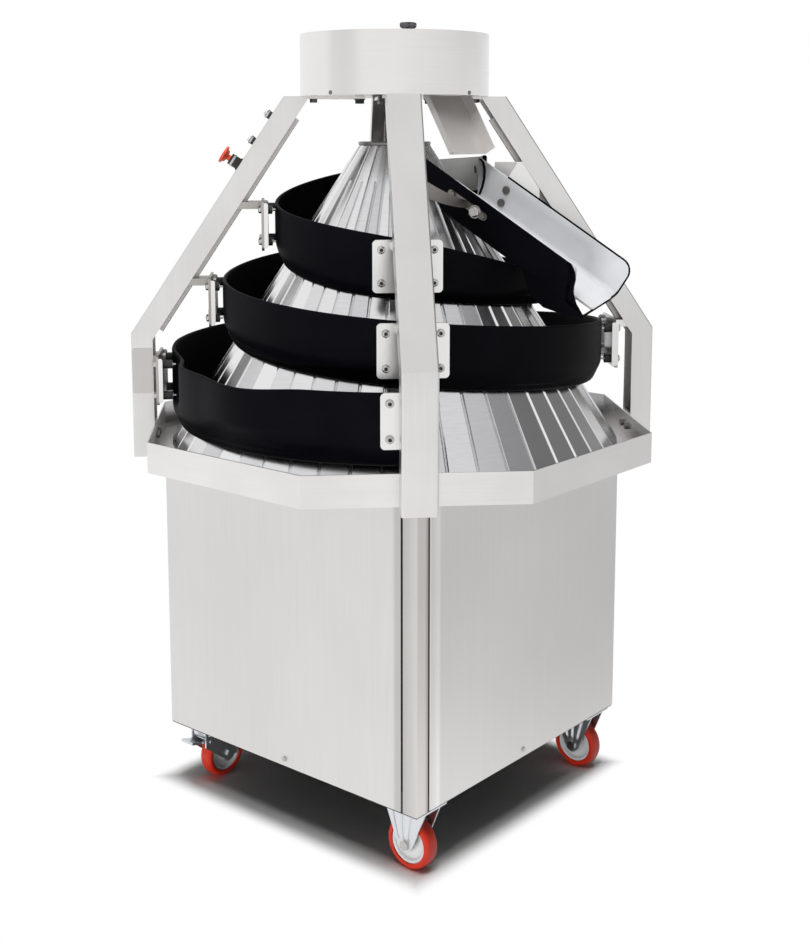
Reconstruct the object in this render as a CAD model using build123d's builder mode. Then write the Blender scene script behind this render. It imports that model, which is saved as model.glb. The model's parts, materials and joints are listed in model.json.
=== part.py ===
from build123d import *
import os
from math import atan2, cos, degrees, floor, radians, sin, sqrt, tan

os.makedirs("parts", exist_ok=True)

# Conical dough rounder on castors: a turning ribbed cone inside a spiral of fixed black tracks,
# four bent posts carrying a flour drum, an outlet chute at the top and a sheet cabinet below.
# Millimetres, +Z up, origin on the floor under the cone's axis; the panel facing -Y is the front.

# Fits
running_fit = 0.05          # radial play of a journal in its bearing
seat_fit = 0.02             # radial play of a piece clamped on the shaft
body_gap = 0.3              # play between curved faces that only lie close
bolt_play = 0.3             # radial play of a bolt in its hole

# Cabinet
cabinet_width = 660
castor_height = 128
sheet = 2                   # panels and corner columns
panel_foot = 131
panel_top = 700
column_leg = 32
column_slot = 4             # dark joint between column and panel
panel_fold = 18
deck_bottom = 701.5
deck_thickness = 6
angle_height = 40           # rolled angle of the base frame
angle_thickness = 4
upright_leg = 30
castor_pad = 124            # square pad welded into each corner of the base frame
pad_proud = 1               # the pads stand this far below the angle
panel_joint = 1             # gap beside a panel that folds round a corner
panel_screw_radius = 2.5

# Tray
tray_margin = 32.5          # from the foot of the cone to the outside of the tray's wall
tray_sheet = 2.5
tray_height = 58.5
shaft_hole = 30

# Posts
post_width = 64
post_depth = 42.5
post_sheet = 3
post_foot = 700
post_bend = 948
post_top = 1411
post_top_radius = 219
post_tab_reach = 60         # inner end of the tab under the drum
post_tab = 5
post_round = 4              # outer radius of the folds
post_angles = {"front_left": 225, "front_right": 315, "rear_right": 45, "rear_left": 135}
post_bolt_radius = 5
foot_pad = 56               # height of the pad bolted to the tray

# Flour drum
drum_radius = 186
drum_sheet = 2
drum_floor = 3
drum_height = 116
lid_thickness = 3
lid_ring_height = 10
knob_position = (20.7, 17.3)
knob_neck = 12
knob_thickness = 13
knob_stud_radius = 5
flour_slot = (126, 166, 45)  # inner x, outer x and half width of the opening in the drum's floor
flour_slope = 60
flour_start_x = 122
flour_length = 127
flour_width = 114
flour_wall = 25
flour_near_wall = 10
flour_sheet = 2

# Cone
cone_bottom = 731
cone_top = 1317
cone_base_radius = 450
cone_top_radius = 70
cone_wall = 7
cone_top_plate = 8
groove_count = 48
groove_width = 4
groove_depth = 3
short_groove_top = 1247     # every second groove stops here
cap_thickness = 6
hub_bottom = 770
hub_height = 60
hub_radius = 40

# Shaft and drive
shaft_bottom = 572
shaft_radius = 22.5
shaft_seat_radius = 20
shaft_top_radius = 12.5
shaft_neck = 1330
shaft_top = 1456
bearing_top = 760
bush_bottom = 1403
gearbox_bottom = 540
gearbox_size = (170, 150)
motor_height = 612
motor_radius = 62

# Spiral tracks: s is the clockwise travel in degrees from the front right post
spiral_angle = 315
spiral_foot = 1037.9        # height at which the track's foot meets the cone at s = 0
spiral_reach = 24           # the inlet end stands this far outside the foot of the cone
spiral_rims = (904, 905, 924, 966, 1011, 1058, 1100, 1062, 1148, 1208, 1272, 1295, 1302)
spiral_start = -720
spiral_end = 280
swing_spans = ((-530, -370), (-170, -30))  # the walls stand wider on the right side
swing_reach = (24, 34)
track_wall = 8
track_lip = 9
track_gap = 2               # clearance of the track's lip to the cone
track_round = 24            # outer radius where the wall turns into the lip
pocket_span = (-697, -662)  # inlet pocket bulging out of the lowest track
pocket_depth = 15           # stays inside the width of the tray
pinch_span = (-653, -629)   # where the wall turns in again behind the pocket
pinch_depth = 17
crest_height = 18           # the rim rises behind the pocket and sinks back along the rear
crest_spans = ((-643, -622), (-600, -500))

# Brackets of the tracks
bracket_width = 128
bracket_height = 98
bracket_sheet = 5
bracket_standoff = 22
bracket_bar = 14
jack_radius = 5
jack_head = 8
jack_point = 2              # radius of the screws' dog points
jack_across = 48

# Outlet chute: a runs down along the chute, b across it from the near wall to the far one
chute_inset = 153           # start of the chute inside the track's radius at s = 0
chute_aside = -40
chute_angle = 12
chute_slope = 0.63
chute_crease = 1253.5       # height of the far crease at a = 0
chute_width = 124
chute_roll = 34             # near side of the floor lies this much lower
chute_far = 76
chute_near = 72
chute_sheet = 4
chute_start = 53            # lengths along the slope from a = 0
chute_far_start = 56        # a at which the far wall begins, where the spiral ends
chute_end = 410
chute_round = 10
guide_sheet = 3
guide_height = 63
clamp_drop = 23             # bar of the clamp below the guide's top
guide_end = 338
support_sheet = 5
support_bottom = 1172
support_top = 1283

# Controls on the front left post: height on the web and collar size
estop_height = 1278
start_height = 1323
stop_height = 1373
estop_travel = 6
button_travel = 3

# Castors
wheel_radius = 50
wheel_width = 32
tread_inner = 38
hub_width = 34
axle_radius = 6
castor_plate = (100, 85, 4)
fixed_inset = 53            # castors in from the cabinet's sides
swivel_inset = 55
swivel_trail = 34
fork_gap = 39
fork_sheet = 3.5
kingpin_radius = 7
pedal_pivot = (-16, 92)
pedal_tip = (-62, 101)

# Derived values
half = cabinet_width / 2
fixed_position = half - fixed_inset
swivel_position = half - swivel_inset
tray_bottom = deck_bottom + deck_thickness
tray_floor = tray_bottom + tray_sheet
tray_half = cone_base_radius + tray_margin
post_radius = tray_half + post_depth
lean = atan2(post_radius - post_top_radius, post_top - post_bend)
post_inside = post_width - 2 * post_sheet
cone_slope = (cone_base_radius - cone_top_radius) / (cone_top - cone_bottom)
cone_wall_across = cone_wall / cos(atan2(cone_base_radius - cone_top_radius, cone_top - cone_bottom))
spiral_radius = cone_base_radius - (spiral_foot - cone_bottom) * cone_slope + track_wall + track_gap + 3
spiral_pitch = 360 * (cone_base_radius + spiral_reach - spiral_radius) / -spiral_start
chute_origin = (spiral_radius - chute_inset, chute_aside)
drum_bottom = post_top
drum_top = drum_bottom + drum_height
lid_top = drum_top + lid_thickness
axle_height = wheel_radius


def radial_plane(angle):
    # Upright plane through the machine's axis: x outward, y up.
    a = radians(angle)
    return Plane(origin=(0, 0, 0), x_dir=(cos(a), sin(a), 0), z_dir=(sin(a), -cos(a), 0))


def facing_plane(angle, radius, height=0):
    # Upright plane square to the outward direction: x anticlockwise, y up, normal outward.
    a = radians(angle)
    out = (cos(a), sin(a), 0)
    return Plane(origin=(radius * out[0], radius * out[1], height), x_dir=(-out[1], out[0], 0), z_dir=out)


def plan_plane(angle, height):
    # Level plane whose y points outward at the angle.
    a = radians(angle)
    return Plane(origin=(0, 0, height), x_dir=(sin(a), -cos(a), 0), z_dir=(0, 0, 1))


def cone_radius(z):
    return cone_base_radius - (z - cone_bottom) * cone_slope


def arm_radius(z, depth=0):
    # Radius of the post's web, or of a face this deep behind it.
    return post_radius - (z - post_bend) * tan(lean) - depth / cos(lean)


def post_corner(depth):
    return (post_radius - depth, post_bend - depth * tan(lean / 2))


def spiral_line(s):
    return spiral_radius - spiral_pitch * s / 360


def track_radius(s):
    # Outside of the wall: the spiral, wider where the walls swing out.
    return spiral_line(s) + sum(reach * hump(s, span) for reach, span in zip(swing_reach, swing_spans))


def wall_line(s):
    # Smooth curve through the measured heights of the walls, one for each quarter turn.
    q = (s - spiral_start) / 90
    i = min(max(floor(q), 0), len(spiral_rims) - 2)
    t = q - i
    p1, p2 = spiral_rims[i], spiral_rims[i + 1]
    p0 = spiral_rims[max(i - 1, 0)]
    p3 = spiral_rims[min(i + 2, len(spiral_rims) - 1)]
    return p1 + 0.5 * t * (p2 - p0 + t * (2 * p0 - 5 * p1 + 4 * p2 - p3 + t * (3 * (p1 - p2) + p3 - p0)))


def ease(t):
    t = min(max(t, 0), 1)
    return t * t * (3 - 2 * t)


def rim_height(s):
    # The wall's line with the crest behind the pocket.
    (a, b), (c, d) = crest_spans
    return wall_line(s) + crest_height * ease((s - a) / (b - a)) * (1 - ease((s - c) / (d - c)))


def track_low(s):
    # Foot of the track: a wall of 134 at the inlet, 120 in the middle and 100 at the outlet, shortened
    # where the cone would come closer than the lip needs.
    if s < -360:
        height = 120 + 14 * (-360 - s) / 360
    else:
        height = 120 - 20 * max(s, 0) / spiral_end
    free = spiral_line(s) - track_wall - track_gap - 3
    return max(wall_line(s) - height, cone_bottom + (cone_base_radius - free) / cone_slope)


def hump(s, span):
    t = (s - span[0]) / (span[1] - span[0])
    return sin(radians(180 * t)) ** 2 if 0 < t < 1 else 0


def pocket(s):
    # Bulge of the inlet pocket, less the pinch behind it.
    return pocket_depth * hump(s, pocket_span) - pinch_depth * hump(s, pinch_span)


def corner_points(x, y, radius):
    # Quarter round from the outside down to the bottom.
    return [(x + radius * cos(radians(t)), y - radius * sin(radians(t))) for t in (0, 30, 60, 90)]


def track_section(s):
    # J section, outer wall and inward lip that ends beside the cone.
    r, bulge = track_radius(s), pocket(s) + 0.3
    top = rim_height(s) - 0.4 * max(bulge, 0.3)
    low = track_low(s)
    tip = cone_radius(low) + track_gap
    outer = min(track_round, 0.6 * (r - tip))
    inner = min(track_round - track_wall, 0.5 * (r - track_wall - tip + track_lip * cone_slope))
    shoulder = low + min(42, 0.6 * (top - low))
    round_out = corner_points(r - outer, low + outer, outer)
    round_in = corner_points(r - track_wall - inner, low + track_lip + inner, inner)[::-1]
    return (
        [(r + bulge, top), (r + bulge, shoulder)]
        + round_out
        + [(tip, low), (tip - track_lip * cone_slope, low + track_lip)]
        + round_in
        + [(r - track_wall + bulge, shoulder - 3), (r - track_wall + bulge, top)]
    )


def stations(first, last, step):
    count = round((last - first) / step)
    return [first + (last - first) * i / count for i in range(count + 1)]


def chute_point(a, b, z=0):
    t = radians(chute_angle)
    return (
        chute_origin[0] + a * cos(t) - b * sin(t),
        chute_origin[1] + a * sin(t) + b * cos(t),
        z,
    )


def chute_section(length):
    # Plane square to the sloping chute this far down its far crease: x across, y off the floor.
    t, fall = radians(chute_angle), atan2(chute_slope, 1)
    return Plane(
        origin=chute_point(length * cos(fall), 0, chute_crease - length * sin(fall)),
        x_dir=(-sin(t), cos(t), 0),
        z_dir=(cos(t) * cos(fall), sin(t) * cos(fall), -sin(fall)),
    )


def chute_flank(b):
    # Upright plane along the chute at distance b, turned with its slope: x down the chute, y off the floor.
    t, fall = radians(chute_angle), atan2(chute_slope, 1)
    return Plane(
        origin=chute_point(0, b, chute_crease),
        x_dir=(cos(t) * cos(fall), sin(t) * cos(fall), -sin(fall)),
        z_dir=(sin(t), -cos(t), 0),
    )


def chute_side(b):
    # Upright plane along the chute at distance b: x is a, y is up, normal toward the near side.
    t = radians(chute_angle)
    return Plane(origin=chute_point(0, b), x_dir=(cos(t), sin(t), 0), z_dir=(sin(t), -cos(t), 0))


def control_plane(height):
    # Plane on the front left post's web, its normal outward.
    a = radians(post_angles["front_left"])
    r = arm_radius(height)
    return Plane(
        origin=(r * cos(a), r * sin(a), height),
        x_dir=(-sin(a), cos(a), 0),
        z_dir=(cos(lean) * cos(a), cos(lean) * sin(a), sin(lean)),
    )


def band(points, thickness):
    # Closed outline of a folded strip of even thickness along the points.
    legs = []
    for (x0, y0), (x1, y1) in zip(points, points[1:]):
        length = sqrt((x1 - x0) ** 2 + (y1 - y0) ** 2)
        legs.append(((y0 - y1) / length, (x1 - x0) / length))
    left, right = [], []
    for i, (x, y) in enumerate(points):
        m, n = legs[max(i - 1, 0)], legs[min(i, len(legs) - 1)]
        scale = thickness / 2 / (1 + m[0] * n[0] + m[1] * n[1])
        dx, dy = (m[0] + n[0]) * scale, (m[1] + n[1]) * scale
        left.append((x + dx, y + dy))
        right.append((x - dx, y - dy))
    return left + right[::-1]


slope_cos = cos(atan2(chute_slope, 1))
chute_clearance = [
    (0, cone_bottom), (cone_base_radius + 4, cone_bottom), (cone_top_radius + 4, cone_top), (0, cone_top)
]

# Cabinet frame: ring of rolled angle, a pad in each corner for the castors, four uprights to the deck.
frame_outer = half - sheet
frame_inner = frame_outer - angle_thickness
frame_foot = castor_height + pad_proud
with BuildPart() as base_frame:
    with BuildSketch(Plane.XY.offset(frame_foot)):
        Rectangle(2 * frame_outer, 2 * frame_outer)
        Rectangle(2 * (frame_outer - angle_height), 2 * (frame_outer - angle_height), mode=Mode.SUBTRACT)
    extrude(amount=angle_thickness)
    with BuildSketch(Plane.XY.offset(frame_foot)):
        Rectangle(2 * frame_outer, 2 * frame_outer)
        Rectangle(2 * frame_inner, 2 * frame_inner, mode=Mode.SUBTRACT)
    extrude(amount=angle_height)
    with BuildSketch(Plane.XY.offset(castor_height)):
        with GridLocations(2 * frame_outer - castor_pad, 2 * frame_outer - castor_pad, 2, 2):
            Rectangle(castor_pad, castor_pad)
    extrude(amount=pad_proud + angle_thickness)
    with BuildSketch(Plane.XY.offset(castor_height)):
        with GridLocations(2 * frame_outer - upright_leg, 2 * frame_outer - upright_leg, 2, 2):
            Rectangle(upright_leg, upright_leg)
        with GridLocations(2 * frame_inner - upright_leg, 2 * frame_inner - upright_leg, 2, 2):
            Rectangle(upright_leg, upright_leg, mode=Mode.SUBTRACT)
    extrude(amount=deck_bottom - castor_height)
    for angle in (0, 90, 180, 270):
        with BuildSketch(facing_plane(angle, half, panel_foot + 14)):
            Circle(panel_screw_radius + bolt_play)
        extrude(amount=-12, mode=Mode.SUBTRACT)
base_frame.part.label = "base_frame"
export_step(base_frame.part, "parts/base_frame.step")

# Corner columns, folded angle sheet round the uprights at the front right and the rear left.
with BuildPart() as corner_columns:
    for x in (-1, 1):
        with BuildSketch(Plane.XY.offset(panel_foot)):
            with Locations((x * (half - column_leg / 2), x * (column_leg / 2 - half))):
                Rectangle(column_leg, column_leg)
            with Locations((x * (frame_outer - column_leg / 2), x * (column_leg / 2 - frame_outer))):
                Rectangle(column_leg, column_leg, mode=Mode.SUBTRACT)
        extrude(amount=deck_bottom - panel_foot)
    upright = corner_columns.edges().filter_by(Axis.Z)
    fillet(upright.sort_by(lambda e: e.center().X ** 2 + e.center().Y ** 2)[-2:], radius=sheet + 1)
corner_columns.part.label = "corner_columns"
export_step(corner_columns.part, "parts/corner_columns.step")

# Side panels: flat sheet with folded sides, screwed to the base frame at the middle of the foot. The front
# and right panels fold round the two corners that have no column, and the others end there without a fold.
# Each has its ends along plan_plane's x and the places of its folds.
column_end = half - column_leg - column_slot
fold_end = half - panel_fold - panel_joint
panel_sides = {
    "front": (270, -column_end, half, sheet - column_end, half - sheet),
    "right": (0, -half, column_end, sheet - half, column_end - sheet),
    "rear": (90, -column_end, fold_end, sheet - column_end, half),
    "left": (180, -fold_end, column_end, -half, column_end - sheet),
}
for side, (angle, first, last, inside_first, inside_last) in panel_sides.items():
    with BuildPart() as side_panel:
        with BuildSketch(plan_plane(angle, panel_foot)):
            with Locations(((first + last) / 2, half - panel_fold / 2)):
                Rectangle(last - first, panel_fold)
        extrude(amount=panel_top - panel_foot)
        upright = side_panel.edges().filter_by(Axis.Z)
        out = Vector(cos(radians(angle)), sin(radians(angle)), 0)
        outer = upright.sort_by(lambda e: e.center().dot(out))[-2:].sort_by(lambda e: e.center().length)
        fillet(outer[1:], radius=sheet + 1)
        upright = side_panel.edges().filter_by(Axis.Z)
        fillet(upright.sort_by(lambda e: e.center().dot(out) - e.center().length / 1000)[-1:], radius=6)
        with BuildSketch(plan_plane(angle, panel_foot)):
            with Locations(((inside_first + inside_last) / 2, half - sheet - panel_fold / 2)):
                Rectangle(inside_last - inside_first, panel_fold)
        extrude(amount=panel_top - panel_foot, mode=Mode.SUBTRACT)
        with BuildSketch(plan_plane(angle, panel_foot)):
            with Locations((0, half - sheet - panel_fold)):
                Rectangle(2 * frame_outer, 2 * panel_fold)
        extrude(amount=frame_foot + angle_height + 1 - panel_foot, mode=Mode.SUBTRACT)
        with BuildSketch(facing_plane(angle, half, panel_foot + 14)):
            Circle(panel_screw_radius + bolt_play)
        extrude(amount=-2 * sheet, mode=Mode.SUBTRACT)
    side_panel.part.label = f"side_panel_{side}"
    export_step(side_panel.part, f"parts/side_panel_{side}.step")

with BuildPart() as panel_screws:
    for angle in (0, 90, 180, 270):
        with BuildSketch(facing_plane(angle, half, panel_foot + 14)):
            Circle(2 * panel_screw_radius)
        extrude(amount=3)
        with BuildSketch(facing_plane(angle, half, panel_foot + 14)):
            Circle(panel_screw_radius)
        extrude(amount=-sheet - angle_thickness)
panel_screws.part.label = "panel_screws"
export_step(panel_screws.part, "parts/panel_screws.step")

# Deck and catch tray.
with BuildPart() as deck_plate:
    with BuildSketch(Plane.XY.offset(deck_bottom)):
        RectangleRounded(cabinet_width, cabinet_width, 3)
        Circle(shaft_hole, mode=Mode.SUBTRACT)
    extrude(amount=deck_thickness)
deck_plate.part.label = "deck_plate"
export_step(deck_plate.part, "parts/deck_plate.step")

foot_bolt_height = tray_floor + 32
foot_bolt_across = 18
with BuildPart() as tray:
    with BuildSketch(Plane.XY.offset(tray_bottom)):
        RegularPolygon(tray_half, 8, major_radius=False, rotation=22.5)
    extrude(amount=tray_height)
    with BuildSketch(Plane.XY.offset(tray_floor)):
        RegularPolygon(tray_half - tray_sheet, 8, major_radius=False, rotation=22.5)
    extrude(amount=tray_height, mode=Mode.SUBTRACT)
    with BuildSketch(Plane.XY.offset(tray_bottom)):
        Circle(shaft_hole)
    extrude(amount=tray_sheet, mode=Mode.SUBTRACT)
    for angle in post_angles.values():
        with BuildSketch(facing_plane(angle, tray_half, foot_bolt_height)):
            with GridLocations(2 * foot_bolt_across, 1, 2, 1):
                Circle(post_bolt_radius + bolt_play)
        extrude(amount=-2 * tray_sheet, mode=Mode.SUBTRACT)
tray.part.label = "tray"
export_step(tray.part, "parts/tray.step")

# Posts: bent channels open to the cone, foot bolted to the tray, tab bolted under the drum.
head_bolt_radius = arm_radius(post_top, post_depth) - post_bolt_radius - 3
head_bolt_across = 15
inner_edge = post_depth + 12
for post_name, angle in post_angles.items():
    with BuildPart() as post:
        with BuildSketch(radial_plane(angle)):
            with BuildLine():
                Polyline(
                    (post_radius, post_foot),
                    (post_radius, post_bend),
                    (post_top_radius, post_top),
                    (arm_radius(post_top, post_depth), post_top),
                    post_corner(post_depth),
                    (post_radius - post_depth, post_foot),
                    close=True,
                )
            make_face()
        extrude(amount=post_width / 2, both=True)
        out = Vector(cos(radians(angle)), sin(radians(angle)), 0)
        folds = []
        for z in ((post_foot + post_bend) / 2, (post_bend + post_top) / 2):
            level = post.edges().filter_by(lambda e: abs(e.center().Z - z) < 1)
            folds += level.sort_by(lambda e: e.center().dot(out))[-2:]
        fillet(folds, radius=post_round)
        with BuildSketch(radial_plane(angle)):
            with BuildLine():
                Polyline(
                    (post_radius - post_sheet, post_foot + post_sheet),
                    post_corner(post_sheet),
                    (arm_radius(post_top - post_tab, post_sheet), post_top - post_tab),
                    (arm_radius(post_top - post_tab, inner_edge), post_top - post_tab),
                    post_corner(inner_edge),
                    (post_radius - inner_edge, post_foot + post_sheet),
                    close=True,
                )
            make_face()
        extrude(amount=post_inside / 2, both=True, mode=Mode.SUBTRACT)
        with BuildSketch(facing_plane(angle, tray_half, foot_bolt_height)):
            Rectangle(post_inside, foot_pad)
            with GridLocations(2 * foot_bolt_across, 1, 2, 1):
                Circle(post_bolt_radius + bolt_play, mode=Mode.SUBTRACT)
        extrude(amount=post_tab)
        with BuildSketch(plan_plane(angle, post_top)):
            with Locations((0, (post_tab_reach + post_top_radius - post_depth) / 2)):
                Rectangle(post_inside, post_top_radius - post_depth - post_tab_reach)
            with Locations((0, head_bolt_radius)):
                with GridLocations(2 * head_bolt_across, 1, 2, 1):
                    Circle(post_bolt_radius + bolt_play, mode=Mode.SUBTRACT)
        extrude(amount=-post_tab)
    post.part.label = f"post_{post_name}"
    export_step(post.part, f"parts/post_{post_name}.step")

with BuildPart() as post_bolts:
    for angle in post_angles.values():
        inside = facing_plane(angle, tray_half - tray_sheet, foot_bolt_height)
        with BuildSketch(inside):
            with GridLocations(2 * foot_bolt_across, 1, 2, 1):
                RegularPolygon(8, 6)
        extrude(amount=-6)
        with BuildSketch(inside):
            with GridLocations(2 * foot_bolt_across, 1, 2, 1):
                Circle(post_bolt_radius)
        extrude(amount=tray_sheet + post_tab + 6)
        with BuildSketch(plan_plane(angle, post_top - post_tab)):
            with Locations((0, head_bolt_radius)):
                with GridLocations(2 * head_bolt_across, 1, 2, 1):
                    RegularPolygon(8, 6)
        extrude(amount=-7)
        with BuildSketch(plan_plane(angle, post_top - post_tab)):
            with Locations((0, head_bolt_radius)):
                with GridLocations(2 * head_bolt_across, 1, 2, 1):
                    Circle(post_bolt_radius)
        extrude(amount=post_tab + drum_floor)
post_bolts.part.label = "post_bolts"
export_step(post_bolts.part, "parts/post_bolts.step")

# Flour drum with its loose lid, agitator, sieve and chute.
bush_radius = 20
with BuildPart() as flour_drum:
    with BuildSketch(Plane.XZ):
        with BuildLine():
            Polyline(
                (bush_radius, drum_bottom),
                (drum_radius, drum_bottom),
                (drum_radius, drum_top),
                (drum_radius - drum_sheet, drum_top),
                (drum_radius - drum_sheet, drum_bottom + drum_floor),
                (bush_radius, drum_bottom + drum_floor),
                close=True,
            )
        make_face()
    revolve(axis=Axis.Z)
    with BuildSketch(Plane.XY.offset(drum_bottom)):
        with Locations(((flour_slot[0] + flour_slot[1]) / 2, 0)):
            Rectangle(flour_slot[1] - flour_slot[0], 2 * flour_slot[2])
        with PolarLocations(head_bolt_radius, 4, post_angles["rear_right"]):
            with GridLocations(1, 2 * head_bolt_across, 1, 2):
                Circle(post_bolt_radius + bolt_play)
    extrude(amount=drum_floor, mode=Mode.SUBTRACT)
flour_drum.part.label = "flour_drum"
export_step(flour_drum.part, "parts/flour_drum.step")

lid_ring = drum_radius - drum_sheet - body_gap - 0.2
with BuildPart() as drum_lid:
    with BuildSketch(Plane.XZ):
        with BuildLine():
            Polyline(
                (0, drum_top),
                (lid_ring - drum_sheet, drum_top),
                (lid_ring - drum_sheet, drum_top - lid_ring_height),
                (lid_ring, drum_top - lid_ring_height),
                (lid_ring, drum_top),
                (drum_radius, drum_top),
                (drum_radius, lid_top),
                (0, lid_top),
                close=True,
            )
        make_face()
    revolve(axis=Axis.Z)
    with BuildSketch(Plane.XY.offset(lid_top)):
        with Locations(knob_position):
            Circle(knob_stud_radius + running_fit)
    extrude(amount=-2 * lid_thickness, mode=Mode.SUBTRACT)
drum_lid.part.label = "drum_lid"
export_step(drum_lid.part, "parts/drum_lid.step")

with BuildPart() as lid_knob:
    with BuildSketch(Plane.XY.offset(lid_top)):
        with Locations(knob_position):
            Circle(8)
    extrude(amount=knob_neck)
    with BuildSketch(Plane.XY.offset(lid_top + knob_neck)):
        with Locations(knob_position):
            Circle(13)
            with PolarLocations(12, 6):
                Circle(5.5)
    extrude(amount=knob_thickness)
    with BuildSketch(Plane.XY.offset(lid_top)):
        with Locations(knob_position):
            Circle(knob_stud_radius)
    extrude(amount=-lid_thickness - 6)
    with BuildSketch(Plane.XY.offset(drum_top - 1)):
        with Locations(knob_position):
            RegularPolygon(9, 6)
    extrude(amount=-5)
lid_knob.part.label = "lid_knob"
export_step(lid_knob.part, "parts/lid_knob.step")

agitator_bottom = drum_bottom + drum_floor + 12
with BuildPart() as agitator:
    with BuildSketch(Plane.XY.offset(agitator_bottom)):
        Circle(24)
    extrude(amount=30)
    with BuildSketch(Plane.XY.offset(agitator_bottom)):
        for angle in (30, 150, 270):
            with PolarLocations(0, 1, angle):
                with Locations((92, 0)):
                    Rectangle(150, 6)
    extrude(amount=16)
    with BuildSketch(Plane.XY.offset(agitator_bottom)):
        with PolarLocations(160, 3, 30):
            Circle(6)
    extrude(amount=55)
    with BuildSketch(Plane.XY.offset(agitator_bottom)):
        Circle(shaft_top_radius + seat_fit)
    extrude(amount=30, mode=Mode.SUBTRACT)
agitator.part.label = "agitator"
export_step(agitator.part, "parts/agitator.step")

with BuildPart() as flour_sieve:
    with BuildSketch(Plane.XY.offset(drum_bottom + drum_floor)):
        with Locations(((flour_slot[0] + flour_slot[1]) / 2, 0)):
            RectangleRounded(flour_slot[1] - flour_slot[0] + 14, 2 * flour_slot[2] + 16, 5)
            with GridLocations(8, 1, 5, 1):
                SlotOverall(76, 4.5, rotation=90, mode=Mode.SUBTRACT)
    extrude(amount=2)
flour_sieve.part.label = "flour_sieve"
export_step(flour_sieve.part, "parts/flour_sieve.step")

fall = radians(flour_slope)
flour_plane = Plane(origin=(flour_start_x, 0, drum_bottom), x_dir=(0, 1, 0), z_dir=(cos(fall), 0, -sin(fall)))
with BuildPart() as flour_chute:
    with BuildSketch(flour_plane.offset(-60)):
        with Locations((0, flour_wall / 2 - flour_sheet)):
            Rectangle(flour_width, flour_wall)
        with Locations((0, flour_wall / 2)):
            Rectangle(flour_width - 2 * flour_sheet, flour_wall, mode=Mode.SUBTRACT)
        with Locations((-flour_width / 2, flour_near_wall + flour_wall / 2)):
            Rectangle(4 * flour_sheet, flour_wall, mode=Mode.SUBTRACT)
    extrude(amount=flour_length + 60)
    with BuildSketch(Plane.XY.offset(drum_bottom)):
        Rectangle(600, 300)
    extrude(amount=120, mode=Mode.SUBTRACT)
flour_chute.part.label = "flour_chute"
export_step(flour_chute.part, "parts/flour_chute.step")

# Cone: spun shell with grooves down its slope, cap, spider and shaft.
cone_inside = cone_top - cone_top_plate
with BuildPart() as cone:
    with BuildSketch(Plane.XZ):
        with BuildLine():
            Polyline(
                (cone_base_radius, cone_bottom),
                (cone_top_radius, cone_top),
                (shaft_seat_radius + seat_fit, cone_top),
                (shaft_seat_radius + seat_fit, cone_inside),
                (cone_radius(cone_inside) - cone_wall_across, cone_inside),
                (cone_base_radius - cone_wall_across, cone_bottom),
                close=True,
            )
        make_face()
    revolve(axis=Axis.Z)
    for start, top in ((0, cone_top + 20), (360 / groove_count, short_groove_top)):
        planes = [radial_plane(start + 720 * i / groove_count) for i in range(groove_count // 2)]
        deep = groove_depth / cos(atan2(cone_slope, 1))
        with BuildSketch(*planes):
            with BuildLine():
                Polyline(
                    (cone_radius(cone_bottom - 10) - deep, cone_bottom - 10),
                    (cone_radius(cone_bottom - 10) + 10, cone_bottom - 10),
                    (cone_radius(top) + 10, top),
                    (cone_radius(top) - deep, top),
                    close=True,
                )
            make_face()
        extrude(amount=groove_width / 2, both=True, mode=Mode.SUBTRACT)
cone.part.label = "cone"
export_step(cone.part, "parts/cone.step")

with BuildPart() as cone_cap:
    with BuildSketch(Plane.XY.offset(cone_top)):
        Circle(cone_top_radius + 2)
        Circle(shaft_seat_radius + seat_fit, mode=Mode.SUBTRACT)
    extrude(amount=cap_thickness)
    top_edges = cone_cap.faces().sort_by(Axis.Z)[-1].edges()
    chamfer(top_edges.sort_by(SortBy.RADIUS)[-1], length=1.5)
cone_cap.part.label = "cone_cap"
export_step(cone_cap.part, "parts/cone_cap.step")

with BuildPart() as cone_hub:
    with BuildSketch(Plane.XY.offset(hub_bottom)):
        Circle(hub_radius)
        with PolarLocations(0, 4):
            with Locations((cone_base_radius / 2, 0)):
                Rectangle(cone_base_radius, 30)
    extrude(amount=hub_height)
    with BuildSketch(Plane.XZ):
        with BuildLine():
            Polyline(
                (0, cone_bottom),
                (cone_base_radius - cone_wall_across - body_gap, cone_bottom),
                (cone_radius(cone_inside) - cone_wall_across - body_gap, cone_inside),
                (0, cone_inside),
                close=True,
            )
        make_face()
    revolve(axis=Axis.Z, mode=Mode.INTERSECT)
    with BuildSketch(Plane.XY.offset(hub_bottom)):
        Circle(shaft_seat_radius + seat_fit)
    extrude(amount=hub_height, mode=Mode.SUBTRACT)
cone_hub.part.label = "cone_hub"
export_step(cone_hub.part, "parts/cone_hub.step")

with BuildPart() as main_shaft:
    with BuildSketch(Plane.XZ):
        with BuildLine():
            Polyline(
                (0, shaft_bottom),
                (shaft_radius, shaft_bottom),
                (shaft_radius, hub_bottom),
                (shaft_seat_radius, hub_bottom),
                (shaft_seat_radius, shaft_neck),
                (shaft_top_radius, shaft_neck),
                (shaft_top_radius, shaft_top),
                (0, shaft_top),
                close=True,
            )
        make_face()
    revolve(axis=Axis.Z)
main_shaft.part.label = "main_shaft"
export_step(main_shaft.part, "parts/main_shaft.step")

with BuildPart() as lower_bearing:
    with BuildSketch(Plane.XY.offset(tray_floor)):
        Circle(80)
    extrude(amount=12)
    with BuildSketch(Plane.XY.offset(tray_floor)):
        Circle(45)
    extrude(amount=bearing_top - tray_floor)
    with BuildSketch(Plane.XY.offset(tray_floor)):
        Circle(shaft_radius + running_fit)
    extrude(amount=bearing_top - tray_floor, mode=Mode.SUBTRACT)
lower_bearing.part.label = "lower_bearing"
export_step(lower_bearing.part, "parts/lower_bearing.step")

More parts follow.
